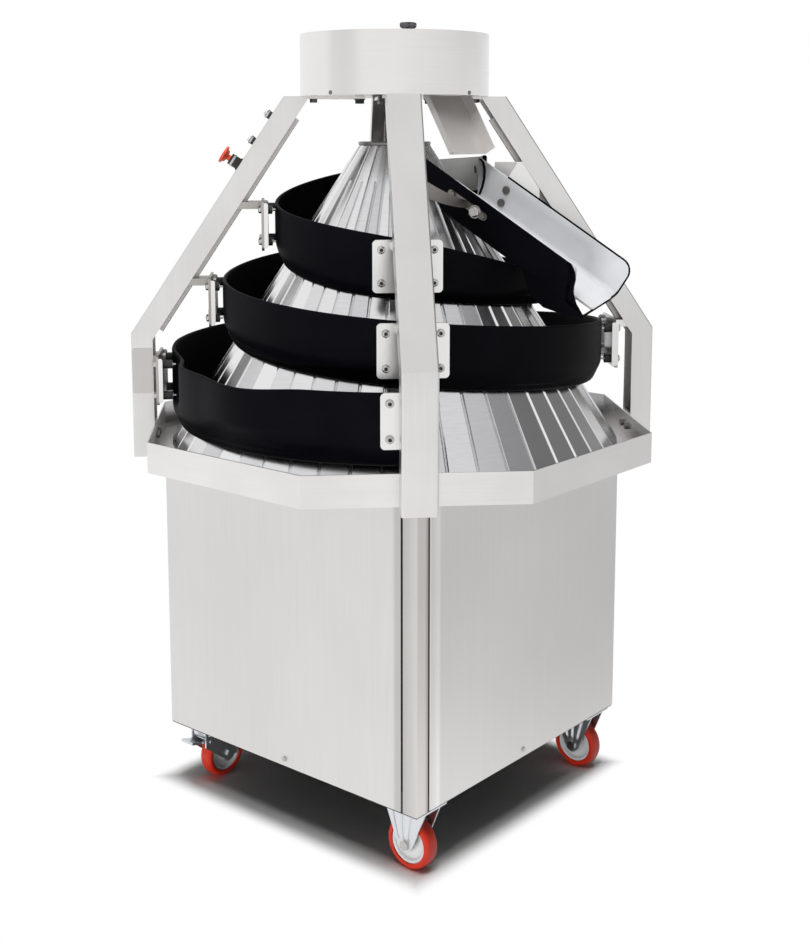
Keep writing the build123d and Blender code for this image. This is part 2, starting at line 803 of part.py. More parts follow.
with BuildPart() as upper_bearing:
    with BuildSketch(Plane.XY.offset(bush_bottom)):
        Circle(bush_radius + 12)
    extrude(amount=drum_bottom - bush_bottom)
    with BuildSketch(Plane.XY.offset(bush_bottom)):
        Circle(bush_radius - bolt_play)
    extrude(amount=drum_bottom + drum_floor + 6 - bush_bottom)
    with BuildSketch(Plane.XY.offset(bush_bottom)):
        Circle(shaft_top_radius + running_fit)
    extrude(amount=60, mode=Mode.SUBTRACT)
upper_bearing.part.label = "upper_bearing"
export_step(upper_bearing.part, "parts/upper_bearing.step")

# Drive inside the cabinet.
with BuildPart() as gearbox:
    with BuildSketch(Plane.XY.offset(gearbox_bottom)):
        RectangleRounded(*gearbox_size, 14)
    extrude(amount=deck_bottom - gearbox_bottom)
    with BuildSketch(Plane.XY.offset(deck_bottom - 14)):
        RectangleRounded(gearbox_size[0] + 40, gearbox_size[1] + 30, 12)
    extrude(amount=14)
    with BuildSketch(Plane.XY.offset(deck_bottom)):
        Circle(shaft_radius + running_fit)
    extrude(amount=shaft_bottom - 1 - deck_bottom, mode=Mode.SUBTRACT)
gearbox.part.label = "gearbox"
export_step(gearbox.part, "parts/gearbox.step")

motor_start = gearbox_size[0] / 2
motor_plane = Plane(origin=(motor_start, 0, motor_height), x_dir=(0, 1, 0), z_dir=(1, 0, 0))
with BuildPart() as motor:
    with BuildSketch(motor_plane):
        Circle(motor_radius + 10)
    extrude(amount=12)
    with BuildSketch(motor_plane):
        Circle(motor_radius)
    extrude(amount=180)
    with BuildSketch(motor_plane.offset(170)):
        Circle(motor_radius + 5)
    extrude(amount=48)
    with BuildSketch(motor_plane.offset(50)):
        with Locations((0, motor_radius)):
            RectangleRounded(70, 30, 5)
    extrude(amount=80)
motor.part.label = "motor"
export_step(motor.part, "parts/motor.step")

with BuildPart() as switch_box:
    with BuildSketch(Plane.XY.offset(frame_foot + angle_thickness)):
        with Locations((0, frame_outer - angle_thickness - 18)):
            RectangleRounded(220, 36, 4)
    extrude(amount=260)
switch_box.part.label = "switch_box"
export_step(switch_box.part, "parts/switch_box.step")

# Spiral tracks, one lofted J section in three lengths.
track_spans = {"lower": (spiral_start, -360.1), "middle": (-360, -0.1), "upper": (0, spiral_end)}
for track_name, (first, last) in track_spans.items():
    with BuildPart() as track:
        for s in stations(first, last, 5 if track_name == "lower" else 10):
            with BuildSketch(radial_plane(spiral_angle - s)):
                with BuildLine():
                    Polyline(*track_section(s), close=True)
                make_face()
        loft()
    track.part.label = f"track_{track_name}"
    export_step(track.part, f"parts/track_{track_name}.step")

with BuildPart() as deflector_plate:
    for s in stations(212, spiral_end, 12):
        face = track_radius(s) - track_wall - body_gap
        low, top = track_low(s) + 34, rim_height(s) - 1
        with BuildSketch(radial_plane(spiral_angle - s)):
            with BuildLine():
                Polyline((face, low), (face, top), (face - 2, top), (face - 2, low), close=True)
            make_face()
    loft()
deflector_plate.part.label = "deflector_plate"
export_step(deflector_plate.part, "parts/deflector_plate.step")

# Brackets: a bar clamped in the post's channel and a plate whose jack screws set the track.
bracket_turns = {
    "front_right": (-720, -360, 0),
    "front_left": (-630, -270, 90),
    "rear_left": (-540, -180, 180),
    "rear_right": (-450, -90),
}
jacks = []
for post_name, turns in bracket_turns.items():
    angle = post_angles[post_name]
    with BuildPart() as track_brackets:
        for s in turns:
            top = wall_line(s) + 2
            tall = min(bracket_height, top - track_low(s) - 16)
            rise = tall / 2 - 18
            inner = track_radius(s) + bracket_standoff
            flat = inner + bracket_sheet > post_radius - post_depth
            if flat:
                inner = post_radius - post_depth - bracket_sheet
            across = (-1,) if flat else (-1, 1)
            for i in across:
                t = i * jack_across
                beside = s - degrees(atan2(t, track_radius(s)))
                r = track_radius(beside) + pocket(beside) + 0.3
                tip = sqrt(r * r - (abs(t) - jack_point) ** 2) + 0.5
                jacks += [(angle, t, top - tall / 2 + j * rise, tip, inner + bracket_sheet) for j in (-1, 1)]
            with BuildSketch(facing_plane(angle, inner, top - tall / 2)):
                with Locations((-27, 0) if flat else (0, 0)):
                    RectangleRounded(bracket_width - 54 if flat else bracket_width, tall, 8)
                with Locations(*((i * jack_across, j * rise) for i in across for j in (-1, 1))):
                    Circle(jack_radius + bolt_play, mode=Mode.SUBTRACT)
            extrude(amount=bracket_sheet)
            bar_end = arm_radius(top, post_sheet + 4) if top > post_bend else post_radius - post_sheet - 4
            with BuildSketch(radial_plane(angle)):
                with Locations(((inner + bracket_sheet + bar_end) / 2, top - bracket_bar / 2 - 4)):
                    Rectangle(bar_end - inner - bracket_sheet, bracket_bar)
            extrude(amount=post_inside / 2, both=True)
    track_brackets.part.label = f"track_brackets_{post_name}"
    export_step(track_brackets.part, f"parts/track_brackets_{post_name}.step")

with BuildPart() as track_screws:
    for angle, t, z, tip, face in jacks:
        with BuildSketch(facing_plane(angle, tip, z)):
            with Locations((t, 0)):
                Circle(jack_point)
        extrude(amount=6)
        with BuildSketch(facing_plane(angle, min(tip + 5, face - 5.5), z)):
            with Locations((t, 0)):
                Circle(jack_radius)
        extrude(amount=face - min(tip + 5, face - 5.5))
        with BuildSketch(facing_plane(angle, face, z)):
            with Locations((t, 0)):
                Circle(jack_head)
        extrude(amount=6)
track_screws.part.label = "track_screws"
export_step(track_screws.part, "parts/track_screws.step")

# Outlet chute: a trough rolled toward its near side, the black guide beside it and their fixings.
near_top = (chute_near - chute_roll) * slope_cos
far_top = chute_far * slope_cos
roll_low = chute_roll * slope_cos
chute_bolts = ((118, 1229), (107, 1204))
with BuildPart() as outlet_chute:
    with BuildSketch(chute_section(0)):
        with BuildLine():
            FilletPolyline(
                (0, near_top),
                (0, -roll_low - chute_sheet),
                (chute_width, -chute_sheet),
                (chute_width, far_top),
                radius=chute_round + chute_sheet,
            )
            Line((chute_width, far_top), (0, near_top))
        make_face()
        with BuildLine():
            FilletPolyline(
                (chute_sheet, far_top + 50),
                (chute_sheet, -roll_low + 1),
                (chute_width - chute_sheet, 0),
                (chute_width - chute_sheet, far_top + 50),
                radius=chute_round,
            )
            Line((chute_width - chute_sheet, far_top + 50), (chute_sheet, far_top + 50))
        make_face(mode=Mode.SUBTRACT)
    extrude(amount=chute_end)
    with BuildSketch(chute_section(-1)):
        with Locations((chute_width / 2 - 28, 0)):
            Rectangle(chute_width, 300)
    extrude(amount=chute_start + 1, mode=Mode.SUBTRACT)
    with BuildSketch(chute_side(chute_width + 5)):
        with Locations((chute_far_start - 100, chute_crease)):
            Rectangle(200, 400)
    extrude(amount=40, mode=Mode.SUBTRACT)
    with BuildSketch(chute_flank(-10)):
        with BuildLine():
            Spline(
                (guide_end, near_top + 5),
                (guide_end + 20, near_top - 18),
                (guide_end + 26, -8),
                (chute_end + 2, -roll_low - 8),
            )
            Polyline((chute_end + 2, -roll_low - 8), (chute_end + 2, near_top + 5), (guide_end, near_top + 5))
        make_face()
    extrude(amount=-40, mode=Mode.SUBTRACT)
    with BuildSketch(chute_flank(chute_width + 5)):
        with Locations((chute_end - 11, far_top - 11)):
            Rectangle(26, 26)
        with Locations((chute_end - 24, far_top - 24)):
            Circle(24, mode=Mode.SUBTRACT)
    extrude(amount=20, mode=Mode.SUBTRACT)
    with BuildSketch(chute_side(chute_width)):
        with Locations(*chute_bolts):
            Circle(4 + bolt_play)
    extrude(amount=2 * chute_sheet, mode=Mode.SUBTRACT)
    with BuildSketch(Plane.XZ):
        with BuildLine():
            Polyline(*chute_clearance, close=True)
        make_face()
    revolve(axis=Axis.Z, mode=Mode.SUBTRACT)
outlet_chute.part.label = "outlet_chute"
export_step(outlet_chute.part, "parts/outlet_chute.step")

with BuildPart() as outlet_guide:
    with BuildSketch(chute_flank(0)):
        with BuildLine():
            Polyline(
                (guide_end + 40, near_top - guide_height),
                (44, near_top - guide_height),
                (6, near_top - guide_height / 2 - 10),
                (-20, near_top + 1),
                (guide_end - 4, near_top + 1),
            )
            Spline(
                (guide_end - 4, near_top + 1),
                (guide_end + 16, near_top - 18),
                (guide_end + 22, -8),
                (guide_end + 40, near_top - guide_height),
            )
        make_face()
    extrude(amount=guide_sheet)
    with BuildSketch(Plane.XZ):
        with BuildLine():
            Polyline(*chute_clearance, close=True)
        make_face()
    revolve(axis=Axis.Z, mode=Mode.SUBTRACT)
outlet_guide.part.label = "outlet_guide"
export_step(outlet_guide.part, "parts/outlet_guide.step")

flange_plane = facing_plane(post_angles["rear_right"], 0)
flange_face = (support_sheet - post_inside) / 2
support_reach = arm_radius(support_top)
arm_points = [flange_plane.from_local_coords((flange_face, 0, support_reach - r)) for r in (16, 101)]
wall_points = [chute_point(a, chute_width + support_sheet / 2) for a in (92, 136)]
support_line = [(p.X, p.Y) for p in arm_points] + [p[:2] for p in wall_points]
with BuildPart() as chute_support:
    with BuildSketch(Plane.XY.offset(support_bottom)):
        with BuildLine():
            Polyline(*band(support_line, support_sheet), close=True)
        make_face()
    extrude(amount=support_top - support_bottom)
    with BuildSketch(chute_section(100)):
        with Locations((chute_width + 3, far_top + 46)):
            Rectangle(14, 100)
    extrude(amount=120, mode=Mode.SUBTRACT)
    with BuildSketch(chute_side(chute_width)):
        with Locations(*chute_bolts):
            Circle(4 + bolt_play)
    extrude(amount=-2 * support_sheet, mode=Mode.SUBTRACT)
chute_support.part.label = "chute_support"
export_step(chute_support.part, "parts/chute_support.step")

with BuildPart() as chute_fasteners:
    with BuildSketch(chute_side(chute_width - chute_sheet)):
        with Locations(*chute_bolts):
            Circle(7.5)
    extrude(amount=4)
    with BuildSketch(chute_side(chute_width - chute_sheet)):
        with Locations(*chute_bolts):
            Circle(4)
    extrude(amount=-chute_sheet - support_sheet - 8)
    with BuildSketch(chute_side(chute_width + support_sheet)):
        with Locations(*chute_bolts):
            RegularPolygon(7, 6)
    extrude(amount=-6)
    with BuildSketch(chute_flank(-guide_sheet)):
        with Locations((105, near_top - clamp_drop)):
            RectangleRounded(94, 14, 6)
    extrude(amount=6)
    with BuildSketch(chute_flank(-guide_sheet - 6)):
        with Locations((68, near_top - clamp_drop), (142, near_top - clamp_drop)):
            RegularPolygon(7, 6)
    extrude(amount=5)
chute_fasteners.part.label = "chute_fasteners"
export_step(chute_fasteners.part, "parts/chute_fasteners.step")

# Controls on the front left arm: three collars and the buttons that slide in them.
collars = {
    "estop": (estop_height, 12, 22, 6),
    "start": (start_height, 8, 10, 5.2),
    "stop": (stop_height, 8, 10, 5.2),
}
with BuildPart() as control_collars:
    for height, radius, length, stem in collars.values():
        with BuildSketch(control_plane(height)):
            Circle(radius)
            Circle(stem + running_fit, mode=Mode.SUBTRACT)
        extrude(amount=length)
control_collars.part.label = "control_collars"
export_step(control_collars.part, "parts/control_collars.step")

with BuildPart() as estop_button:
    height, radius, length, stem = collars["estop"]
    with BuildSketch(control_plane(height).offset(estop_travel + 2)):
        Circle(stem)
    extrude(amount=length)
    with BuildSketch(control_plane(height).offset(length + estop_travel + 1)):
        Circle(18)
    extrude(amount=11)
    rims = estop_button.edges().filter_by(GeomType.CIRCLE).sort_by(SortBy.RADIUS)[-2:]
    fillet(rims.sort_by_distance((0, 0, height))[-1], radius=5)
estop_button.part.label = "estop_button"
export_step(estop_button.part, "parts/estop_button.step")

for button_name in ("start", "stop"):
    height, radius, length, stem = collars[button_name]
    with BuildPart() as push_button:
        with BuildSketch(control_plane(height).offset(button_travel + 1)):
            Circle(stem)
        extrude(amount=length)
    push_button.part.label = f"{button_name}_button"
    export_step(push_button.part, f"parts/{button_name}_button.step")

# Castors: two fixed on the right, two swivelling with brakes on the left.
plate_bottom = castor_height - castor_plate[2]
leg_middle = fork_gap / 2 + fork_sheet / 2
axle_reach = fork_gap / 2 + fork_sheet + 4
with BuildPart() as fixed_castor_brackets:
    for y in (-fixed_position, fixed_position):
        with BuildSketch(Plane.XY.offset(plate_bottom)):
            with Locations((fixed_position, y)):
                RectangleRounded(castor_plate[0], castor_plate[1], 6)
        extrude(amount=castor_plate[2])
        flank = Plane(origin=(fixed_position, y, 0), x_dir=(1, 0, 0), z_dir=(0, -1, 0))
        for side in (-1, 1):
            with BuildSketch(flank.offset(side * leg_middle)):
                with BuildLine():
                    Polyline((-40, plate_bottom), (40, plate_bottom), (14, 46), (-14, 46), close=True)
                make_face()
                with Locations((0, axle_height)):
                    Circle(15)
            extrude(amount=fork_sheet / 2, both=True)
            with BuildSketch(flank.offset(side * (axle_reach - 2))):
                with Locations((0, axle_height)):
                    RegularPolygon(10, 6)
            extrude(amount=2, both=True)
        with BuildSketch(flank):
            with Locations((0, axle_height)):
                Circle(axle_radius)
        extrude(amount=axle_reach, both=True)
fixed_castor_brackets.part.label = "fixed_castor_brackets"
export_step(fixed_castor_brackets.part, "parts/fixed_castor_brackets.step")

crown_top = plate_bottom - 8 - body_gap
crown_bottom = crown_top - 9.7
with BuildPart() as swivel_plates:
    for y in (-swivel_position, swivel_position):
        with BuildSketch(Plane.XY.offset(plate_bottom)):
            with Locations((-swivel_position, y)):
                RectangleRounded(castor_plate[0], castor_plate[1], 6)
        extrude(amount=castor_plate[2])
        with BuildSketch(Plane.XY.offset(plate_bottom)):
            with Locations((-swivel_position, y)):
                Circle(34)
        extrude(amount=-8)
        with BuildSketch(Plane.XY.offset(plate_bottom)):
            with Locations((-swivel_position, y)):
                Circle(kingpin_radius)
        extrude(amount=crown_bottom - 8 - plate_bottom)
        with BuildSketch(Plane.XY.offset(crown_bottom - body_gap)):
            with Locations((-swivel_position, y)):
                Circle(11)
        extrude(amount=-7)
swivel_plates.part.label = "swivel_plates"
export_step(swivel_plates.part, "parts/swivel_plates.step")

wheel_centres = {
    "front_right": (fixed_position, -fixed_position, (0, -1, 0)),
    "rear_right": (fixed_position, fixed_position, (0, -1, 0)),
    "front_left": (-swivel_position, -swivel_position + swivel_trail, (1, 0, 0)),
    "rear_left": (-swivel_position, swivel_position + swivel_trail, (1, 0, 0)),
}
for end, y in {"front": -swivel_position, "rear": swivel_position}.items():
    flank = Plane(origin=(-swivel_position, y, 0), x_dir=(0, 1, 0), z_dir=(1, 0, 0))
    with BuildPart() as swivel_fork:
        with BuildSketch(Plane.XY.offset(crown_bottom)):
            with Locations((-swivel_position, y)):
                Circle(33)
        extrude(amount=crown_top - crown_bottom)
        for side in (-1, 1):
            with BuildSketch(flank.offset(side * leg_middle)):
                with BuildLine():
                    Polyline(
                        (-30, crown_top), (30, crown_top), (swivel_trail + 15, axle_height + 2),
                        (swivel_trail - 12, axle_height - 9), (-30, 82), close=True,
                    )
                make_face()
                with Locations((swivel_trail, axle_height)):
                    Circle(15)
                with Locations(pedal_pivot):
                    Circle(4 + running_fit, mode=Mode.SUBTRACT)
            extrude(amount=fork_sheet / 2, both=True)
            with BuildSketch(flank.offset(side * (axle_reach - 2))):
                with Locations((swivel_trail, axle_height)):
                    RegularPolygon(10, 6)
            extrude(amount=2, both=True)
        with BuildSketch(flank):
            with Locations((swivel_trail, axle_height)):
                Circle(axle_radius)
        extrude(amount=axle_reach, both=True)
        with BuildSketch(Plane.XY.offset(crown_bottom)):
            with Locations((-swivel_position, y)):
                Circle(kingpin_radius + running_fit)
        extrude(amount=crown_top - crown_bottom, mode=Mode.SUBTRACT)
    swivel_fork.part.label = f"swivel_fork_{end}"
    export_step(swivel_fork.part, f"parts/swivel_fork_{end}.step")

    shoe_turn = degrees(atan2(axle_height - pedal_pivot[1], swivel_trail - pedal_pivot[0]))
    with BuildPart() as brake_pedal:
        with BuildSketch(flank):
            with Locations(pedal_pivot):
                Circle(4)
        extrude(amount=fork_gap / 2 + fork_sheet + 2, both=True)
        with BuildSketch(flank):
            with Locations(pedal_pivot):
                Circle(7)
        extrude(amount=17, both=True)
        with BuildSketch(flank):
            with Locations(Location((pedal_pivot[0], pedal_pivot[1], 0), (0, 0, shoe_turn))):
                with Locations((7.2, 0)):
                    Rectangle(14.4, 5)
        extrude(amount=12, both=True)
        with BuildSketch(flank):
            with BuildLine():
                Polyline(*band([pedal_pivot, (-40, 95), pedal_tip], 5), close=True)
            make_face()
        extrude(amount=17, both=True)
    brake_pedal.part.label = f"brake_pedal_{end}"
    export_step(brake_pedal.part, f"parts/brake_pedal_{end}.step")

for wheel_name, (x, y, axis) in wheel_centres.items():
    wheel_plane = Plane(origin=(x, y, axle_height), x_dir=(0, 0, 1), z_dir=axis)
    with BuildPart() as wheel_tread:
        with BuildSketch(wheel_plane):
            Circle(wheel_radius)
            Circle(tread_inner, mode=Mode.SUBTRACT)
        extrude(amount=wheel_width / 2, both=True)
        fillet(wheel_tread.edges().filter_by(GeomType.CIRCLE).sort_by(SortBy.RADIUS)[-2:], radius=6)
    wheel_tread.part.label = f"wheel_tread_{wheel_name}"
    export_step(wheel_tread.part, f"parts/wheel_tread_{wheel_name}.step")

    with BuildPart() as wheel_hub:
        with BuildSketch(wheel_plane):
            Circle(tread_inner - body_gap)
        extrude(amount=wheel_width / 2 - 2, both=True)
        with BuildSketch(wheel_plane):
            Circle(14)
        extrude(amount=hub_width / 2, both=True)
        with BuildSketch(wheel_plane):
            Circle(axle_radius + running_fit)
        extrude(amount=hub_width, both=True, mode=Mode.SUBTRACT)
    wheel_hub.part.label = f"wheel_hub_{wheel_name}"
    export_step(wheel_hub.part, f"parts/wheel_hub_{wheel_name}.step")
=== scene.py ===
import json
import math
import bmesh
import bpy
import numpy as np
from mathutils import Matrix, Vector


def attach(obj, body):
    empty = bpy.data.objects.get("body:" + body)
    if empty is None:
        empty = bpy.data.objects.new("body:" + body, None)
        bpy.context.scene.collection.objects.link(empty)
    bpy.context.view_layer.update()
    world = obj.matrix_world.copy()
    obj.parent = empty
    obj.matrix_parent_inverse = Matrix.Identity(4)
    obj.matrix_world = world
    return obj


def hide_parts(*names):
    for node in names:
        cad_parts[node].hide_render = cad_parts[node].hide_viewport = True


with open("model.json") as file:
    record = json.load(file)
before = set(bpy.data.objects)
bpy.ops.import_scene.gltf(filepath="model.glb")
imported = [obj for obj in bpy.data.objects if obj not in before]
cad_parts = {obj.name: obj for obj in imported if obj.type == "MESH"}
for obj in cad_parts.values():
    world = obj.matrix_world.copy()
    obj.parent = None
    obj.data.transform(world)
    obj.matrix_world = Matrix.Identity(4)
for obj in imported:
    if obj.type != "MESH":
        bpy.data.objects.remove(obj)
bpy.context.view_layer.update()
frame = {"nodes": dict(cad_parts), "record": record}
nodes = frame["nodes"]
scene = bpy.context.scene
scene.view_settings.view_transform = "Standard"
print("frame loaded, nodes:", len(nodes))


def linear(hexColour):  # sRGB hex to linear RGBA
    c = np.array([int(hexColour[i:i + 2], 16) for i in (1, 3, 5)]) / 255
    c = np.where(c <= 0.04045, c / 12.92, ((c + 0.055) / 1.055) ** 2.4)
    return (*map(float, c), 1.0)


def setInputs(tree, node, inputs):
    # a value or another node's output for each input, by name or number, or in their order
    for key, value in inputs.items() if isinstance(inputs, dict) else enumerate(inputs):
        if isinstance(value, bpy.types.NodeSocket):
            tree.links.new(value, node.inputs[key])
        else:
            node.inputs[key].default_value = value


def addNode(tree, kind, inputs=(), settings=None, stops=()):
    # one node with its inputs, its settings and its colour ramp's two stops; gives back its outputs
    node = tree.nodes.new("ShaderNode" + kind)
    for key, value in (settings or {}).items():
        setattr(node, key, value)
    setInputs(tree, node, inputs)
    for i, (place, colour) in enumerate(stops):
        node.color_ramp.elements[i].position = place
        node.color_ramp.elements[i].color = linear(colour)
    return node.outputs


def newMaterial(name):
    material = bpy.data.materials.new(name)
    material.use_nodes = True
    return material, material.node_tree, material.node_tree.nodes["Principled BSDF"]


# Camera at the photograph's place and angle, for an image of 810 x 945.
shot = {"azimuth": 39.92, "distance": 2.8165, "height": 1.34725, "pitch": 8.24, "aside": 0.02076,
        "focalPixels": 1404.15, "shiftPixels": -140, "tallPixels": 945, "sensor": 36, "clip": (0.05, 80)}
camData = bpy.data.cameras.new("photoCamera")
camObject = bpy.data.objects.new("photoCamera", camData)
scene.collection.objects.link(camObject)
azimuth = math.radians(shot["azimuth"])
camObject.location = (
    shot["distance"] * math.sin(azimuth) + shot["aside"] * math.cos(azimuth),
    -shot["distance"] * math.cos(azimuth) + shot["aside"] * math.sin(azimuth),
    shot["height"],
)
camObject.rotation_euler = (math.radians(90 - shot["pitch"]), 0, azimuth)
camData.sensor_width = shot["sensor"]
camData.lens = shot["focalPixels"] * shot["sensor"] / shot["tallPixels"]
camData.shift_y = shot["shiftPixels"] / shot["tallPixels"]
camData.clip_start, camData.clip_end = shot["clip"]
scene.camera = camObject
print("camera placed")


# Studio: white surroundings that metal reflects too, a pale floor and soft lamps. Four numbers are a range:
# where it starts and ends, and the value at each.
studio = {
    "floor": "#f6f6f5", "floorSize": 60.0, "floorRough": 0.9, "white": (1, 1, 1, 1), "firstBounce": 0.5,
    "mattLight": (-0.05, 0.6, 0.01, 0.08),
    "greySide": (0.64, 0.77, 0.0), "greyWall": (0.1, 0.95, 1.0, 0.9), "greyFloor": (0.2, 1.2, 1.0, 0.73),
    "stripSide": (-0.407, -0.914, 0.0), "greyStrip": (0.9, 0.985, 1.0, 0.82),
    "ceilingSide": (0.25, 1.0, 0.5), "ceiling": (0.47, 1.0, 0.9, 0.2),
    "ceilingFrom": (0.03, 0.28), "overheadFrom": (0.62, 0.86), "overhead": 0.9,
    "shadowEdge": (0.305, 0.357, 0.0, 1.0), "shadowLeft": 0.012,
}
smooth = {"interpolation_type": "SMOOTHSTEP"}
dot, absolute, scale = {"operation": "DOT_PRODUCT"}, {"operation": "ABSOLUTE"}, {"operation": "SCALE"}
add, subtract, multiply = {"operation": "ADD"}, {"operation": "SUBTRACT"}, {"operation": "MULTIPLY"}
multiplyAdd, lessThan = {"operation": "MULTIPLY_ADD"}, {"operation": "LESS_THAN"}
larger, smaller = {"operation": "MAXIMUM"}, {"operation": "MINIMUM"}

world = bpy.data.worlds.new("studioWorld")
scene.world = world
world.use_nodes = True
tree = world.node_tree
tree.nodes.clear()
ray = addNode(tree, "LightPath")
toSky = addNode(tree, "TexCoord")["Generated"]
height = addNode(tree, "SeparateXYZ", [toSky])["Z"]
# matt surfaces are lit mostly from above, and not by way of the white that metal shows
matt = addNode(tree, "MapRange", (height, *studio["mattLight"]), smooth)[0]
# metal sees white walls, greyer at the right rear and in a strip at the front
toGrey = addNode(tree, "VectorMath", (toSky, studio["greySide"]), dot)["Value"]
wall = addNode(tree, "MapRange", (toGrey, *studio["greyWall"]), smooth)[0]
toStrip = addNode(tree, "VectorMath", (toSky, studio["stripSide"]), dot)["Value"]
strip = addNode(tree, "MapRange", (toStrip, *studio["greyStrip"]), smooth)[0]
wall = addNode(tree, "Math", (wall, strip), multiply)[0]
# and a ceiling that is darker low down to the rear
toRear = addNode(tree, "VectorMath", (toSky, studio["ceilingSide"]), dot)["Value"]
rear = addNode(tree, "MapRange", (toRear, *studio["ceiling"]), smooth)[0]
ceiling = addNode(tree, "MapRange", (height, *studio["ceilingFrom"], 1.0, rear), smooth)[0]
upper = (height, *studio["overheadFrom"], ceiling, studio["overhead"])
ceiling = addNode(tree, "MapRange", upper, smooth)[0]
gloss = addNode(tree, "Math", (wall, ceiling), multiply)[0]
direct = addNode(tree, "Math", (ray["Diffuse Depth"], studio["firstBounce"]), lessThan)[0]
glossy = addNode(tree, "Math", (ray["Is Glossy Ray"], direct), multiply)[0]
light = addNode(tree, "Mix", {0: glossy, 2: matt, 3: gloss})[0]
seen = addNode(tree, "Math", (ray["Is Camera Ray"], ray["Is Transmission Ray"]), larger)[0]
light = addNode(tree, "Mix", {0: seen, 2: light, 3: 1.0})[0]
sky = addNode(tree, "Background", {"Color": studio["white"], "Strength": light})[0]
addNode(tree, "OutputWorld", {"Surface": sky})

half = studio["floorSize"] / 2
floorMesh = bpy.data.meshes.new("studioFloor")
floorCorners = [(-half, -half, 0), (half, -half, 0), (half, half, 0), (-half, half, 0)]
floorMesh.from_pydata(floorCorners, [], [(0, 1, 2, 3)])
floor = bpy.data.objects.new("studioFloor", floorMesh)
scene.collection.objects.link(floor)
# painted cove: matt white near the machine, where it takes the shadow, and plain white further out
material, tree, shader = newMaterial("mattWhiteCove")
setInputs(tree, shader, {"Base Color": linear(studio["floor"]), "Roughness": studio["floorRough"],
                         "Specular IOR Level": 0.0})
place = addNode(tree, "TexCoord")["Object"]
# the shadow's place is a square, a little longer to the left
moved = addNode(tree, "VectorMath", (place, (studio["shadowLeft"], 0.0, 0.0)), add)[0]
moved = addNode(tree, "VectorMath", [moved], absolute)[0]
apart = addNode(tree, "SeparateXYZ", [moved])
away = addNode(tree, "Math", (apart["X"], studio["shadowLeft"]), subtract)[0]
away = addNode(tree, "Math", (away, apart["Y"]), larger)[0]
white = addNode(tree, "MapRange", (away, *studio["shadowEdge"]), smooth)[0]
ray = addNode(tree, "LightPath")
direct = addNode(tree, "Math", (ray["Diffuse Depth"], studio["firstBounce"]), lessThan)[0]
glossy = addNode(tree, "Math", (ray["Is Glossy Ray"], direct), multiply)[0]
seen = addNode(tree, "Math", (ray["Is Camera Ray"], glossy), larger)[0]
seen = addNode(tree, "Math", (seen, ray["Is Transmission Ray"]), larger)[0]
white = addNode(tree, "Math", (white, seen), multiply)[0]
# in reflections it is greyer toward the right rear, like the wall above it
toGrey = addNode(tree, "VectorMath", (place, studio["greySide"]), dot)["Value"]
grey = addNode(tree, "MapRange", (toGrey, *studio["greyFloor"]), smooth)[0]
glow = addNode(tree, "Mix", {0: ray["Is Glossy Ray"], 2: 1.0, 3: grey})[0]
plain = addNode(tree, "Emission", {"Color": studio["white"], "Strength": glow})[0]
mixed = addNode(tree, "MixShader", (white, shader.outputs[0], plain))[0]
tree.links.new(mixed, tree.nodes["Material Output"].inputs["Surface"])
floorMesh.materials.append(material)

lamps = {  # place, aim, size in metres, watts
    "overheadBox": ((0.25, -0.3, 5.6), (0.0, 0.0, 0.6), (3.2, 3.2), 215),
    "chuteBox": ((0.75, -1.0, 2.3), (0.32, 0.02, 1.2), (0.5, 0.5), 11),
    "frontBox": ((0.5, -4.4, 0.06), (0.0, 0.0, 0.5), (3.0, 0.1), 120),
}
for name, (spot, aim, size, watts) in lamps.items():
    data = bpy.data.lights.new(name, "AREA")
    data.shape, data.energy = "RECTANGLE", watts
    data.size, data.size_y = size
    lamp = bpy.data.objects.new(name, data)
    lamp.location = spot
    lamp.rotation_euler = (Vector(aim) - Vector(spot)).to_track_quat("-Z", "Y").to_euler()
    lamp.visible_glossy = False
    lamp.visible_camera = False
    scene.collection.objects.link(lamp)
print("studio ready")


metalLook = {"grain": {"Scale": 1.0, "Detail": 3.0, "Roughness": 0.6}, "cloudDetail": 2.0, "grainShare": 0.5,
             "stops": (0.5, 1.0), "glossOver": (0.4, 1.1), "duller": 0.06, "glossier": 0.05, "bumpMm": 0.4}
coatLook = {"grainDetail": 3.0, "cloudDetail": 2.0, "stops": (0.32, 0.68), "glossOver": (0.3, 0.7),
            "duller": 0.06, "glossier": 0.05, "bump": 0.2, "bumpMm": 0.04, "cloudMm": 60}


def brushedMetal(name, light, dark, roughness, grainMm, cloudMm=170, scratch=0.05, metallic=1.0):
    # Belt-ground metal: long fine scratches in one direction that widen the reflection, and faint clouds.
    # grainMm is the size of a scratch along X, Y and Z, drawn wider than the real 0.1 to 0.3 mm to show.
    material, tree, shader = newMaterial(name)
    place = addNode(tree, "TexCoord")["Object"]
    fine = {"Vector": place, "Scale": [1000 / mm for mm in grainMm]}
    lines = addNode(tree, "Mapping", fine)[0]
    grain = addNode(tree, "TexNoise", {"Vector": lines, **metalLook["grain"]})["Fac"]
    broad = {"Vector": place, "Scale": 1000 / cloudMm, "Detail": metalLook["cloudDetail"]}
    cloud = addNode(tree, "TexNoise", broad)["Fac"]
    both = addNode(tree, "Math", (grain, metalLook["grainShare"], cloud), multiplyAdd)[0]
    stops = zip(metalLook["stops"], (dark, light))
    tone = addNode(tree, "ValToRGB", [both], stops=stops)["Color"]
    gloss = (*metalLook["glossOver"], roughness + metalLook["duller"], roughness - metalLook["glossier"])
    rough = addNode(tree, "MapRange", (both, *gloss))[0]
    relief = {"Strength": scratch, "Distance": metalLook["bumpMm"] / 1000, "Height": grain}
    bump = addNode(tree, "Bump", relief)[0]
    setInputs(tree, shader, {"Metallic": metallic, "Base Color": tone, "Roughness": rough, "Normal": bump})
    return material


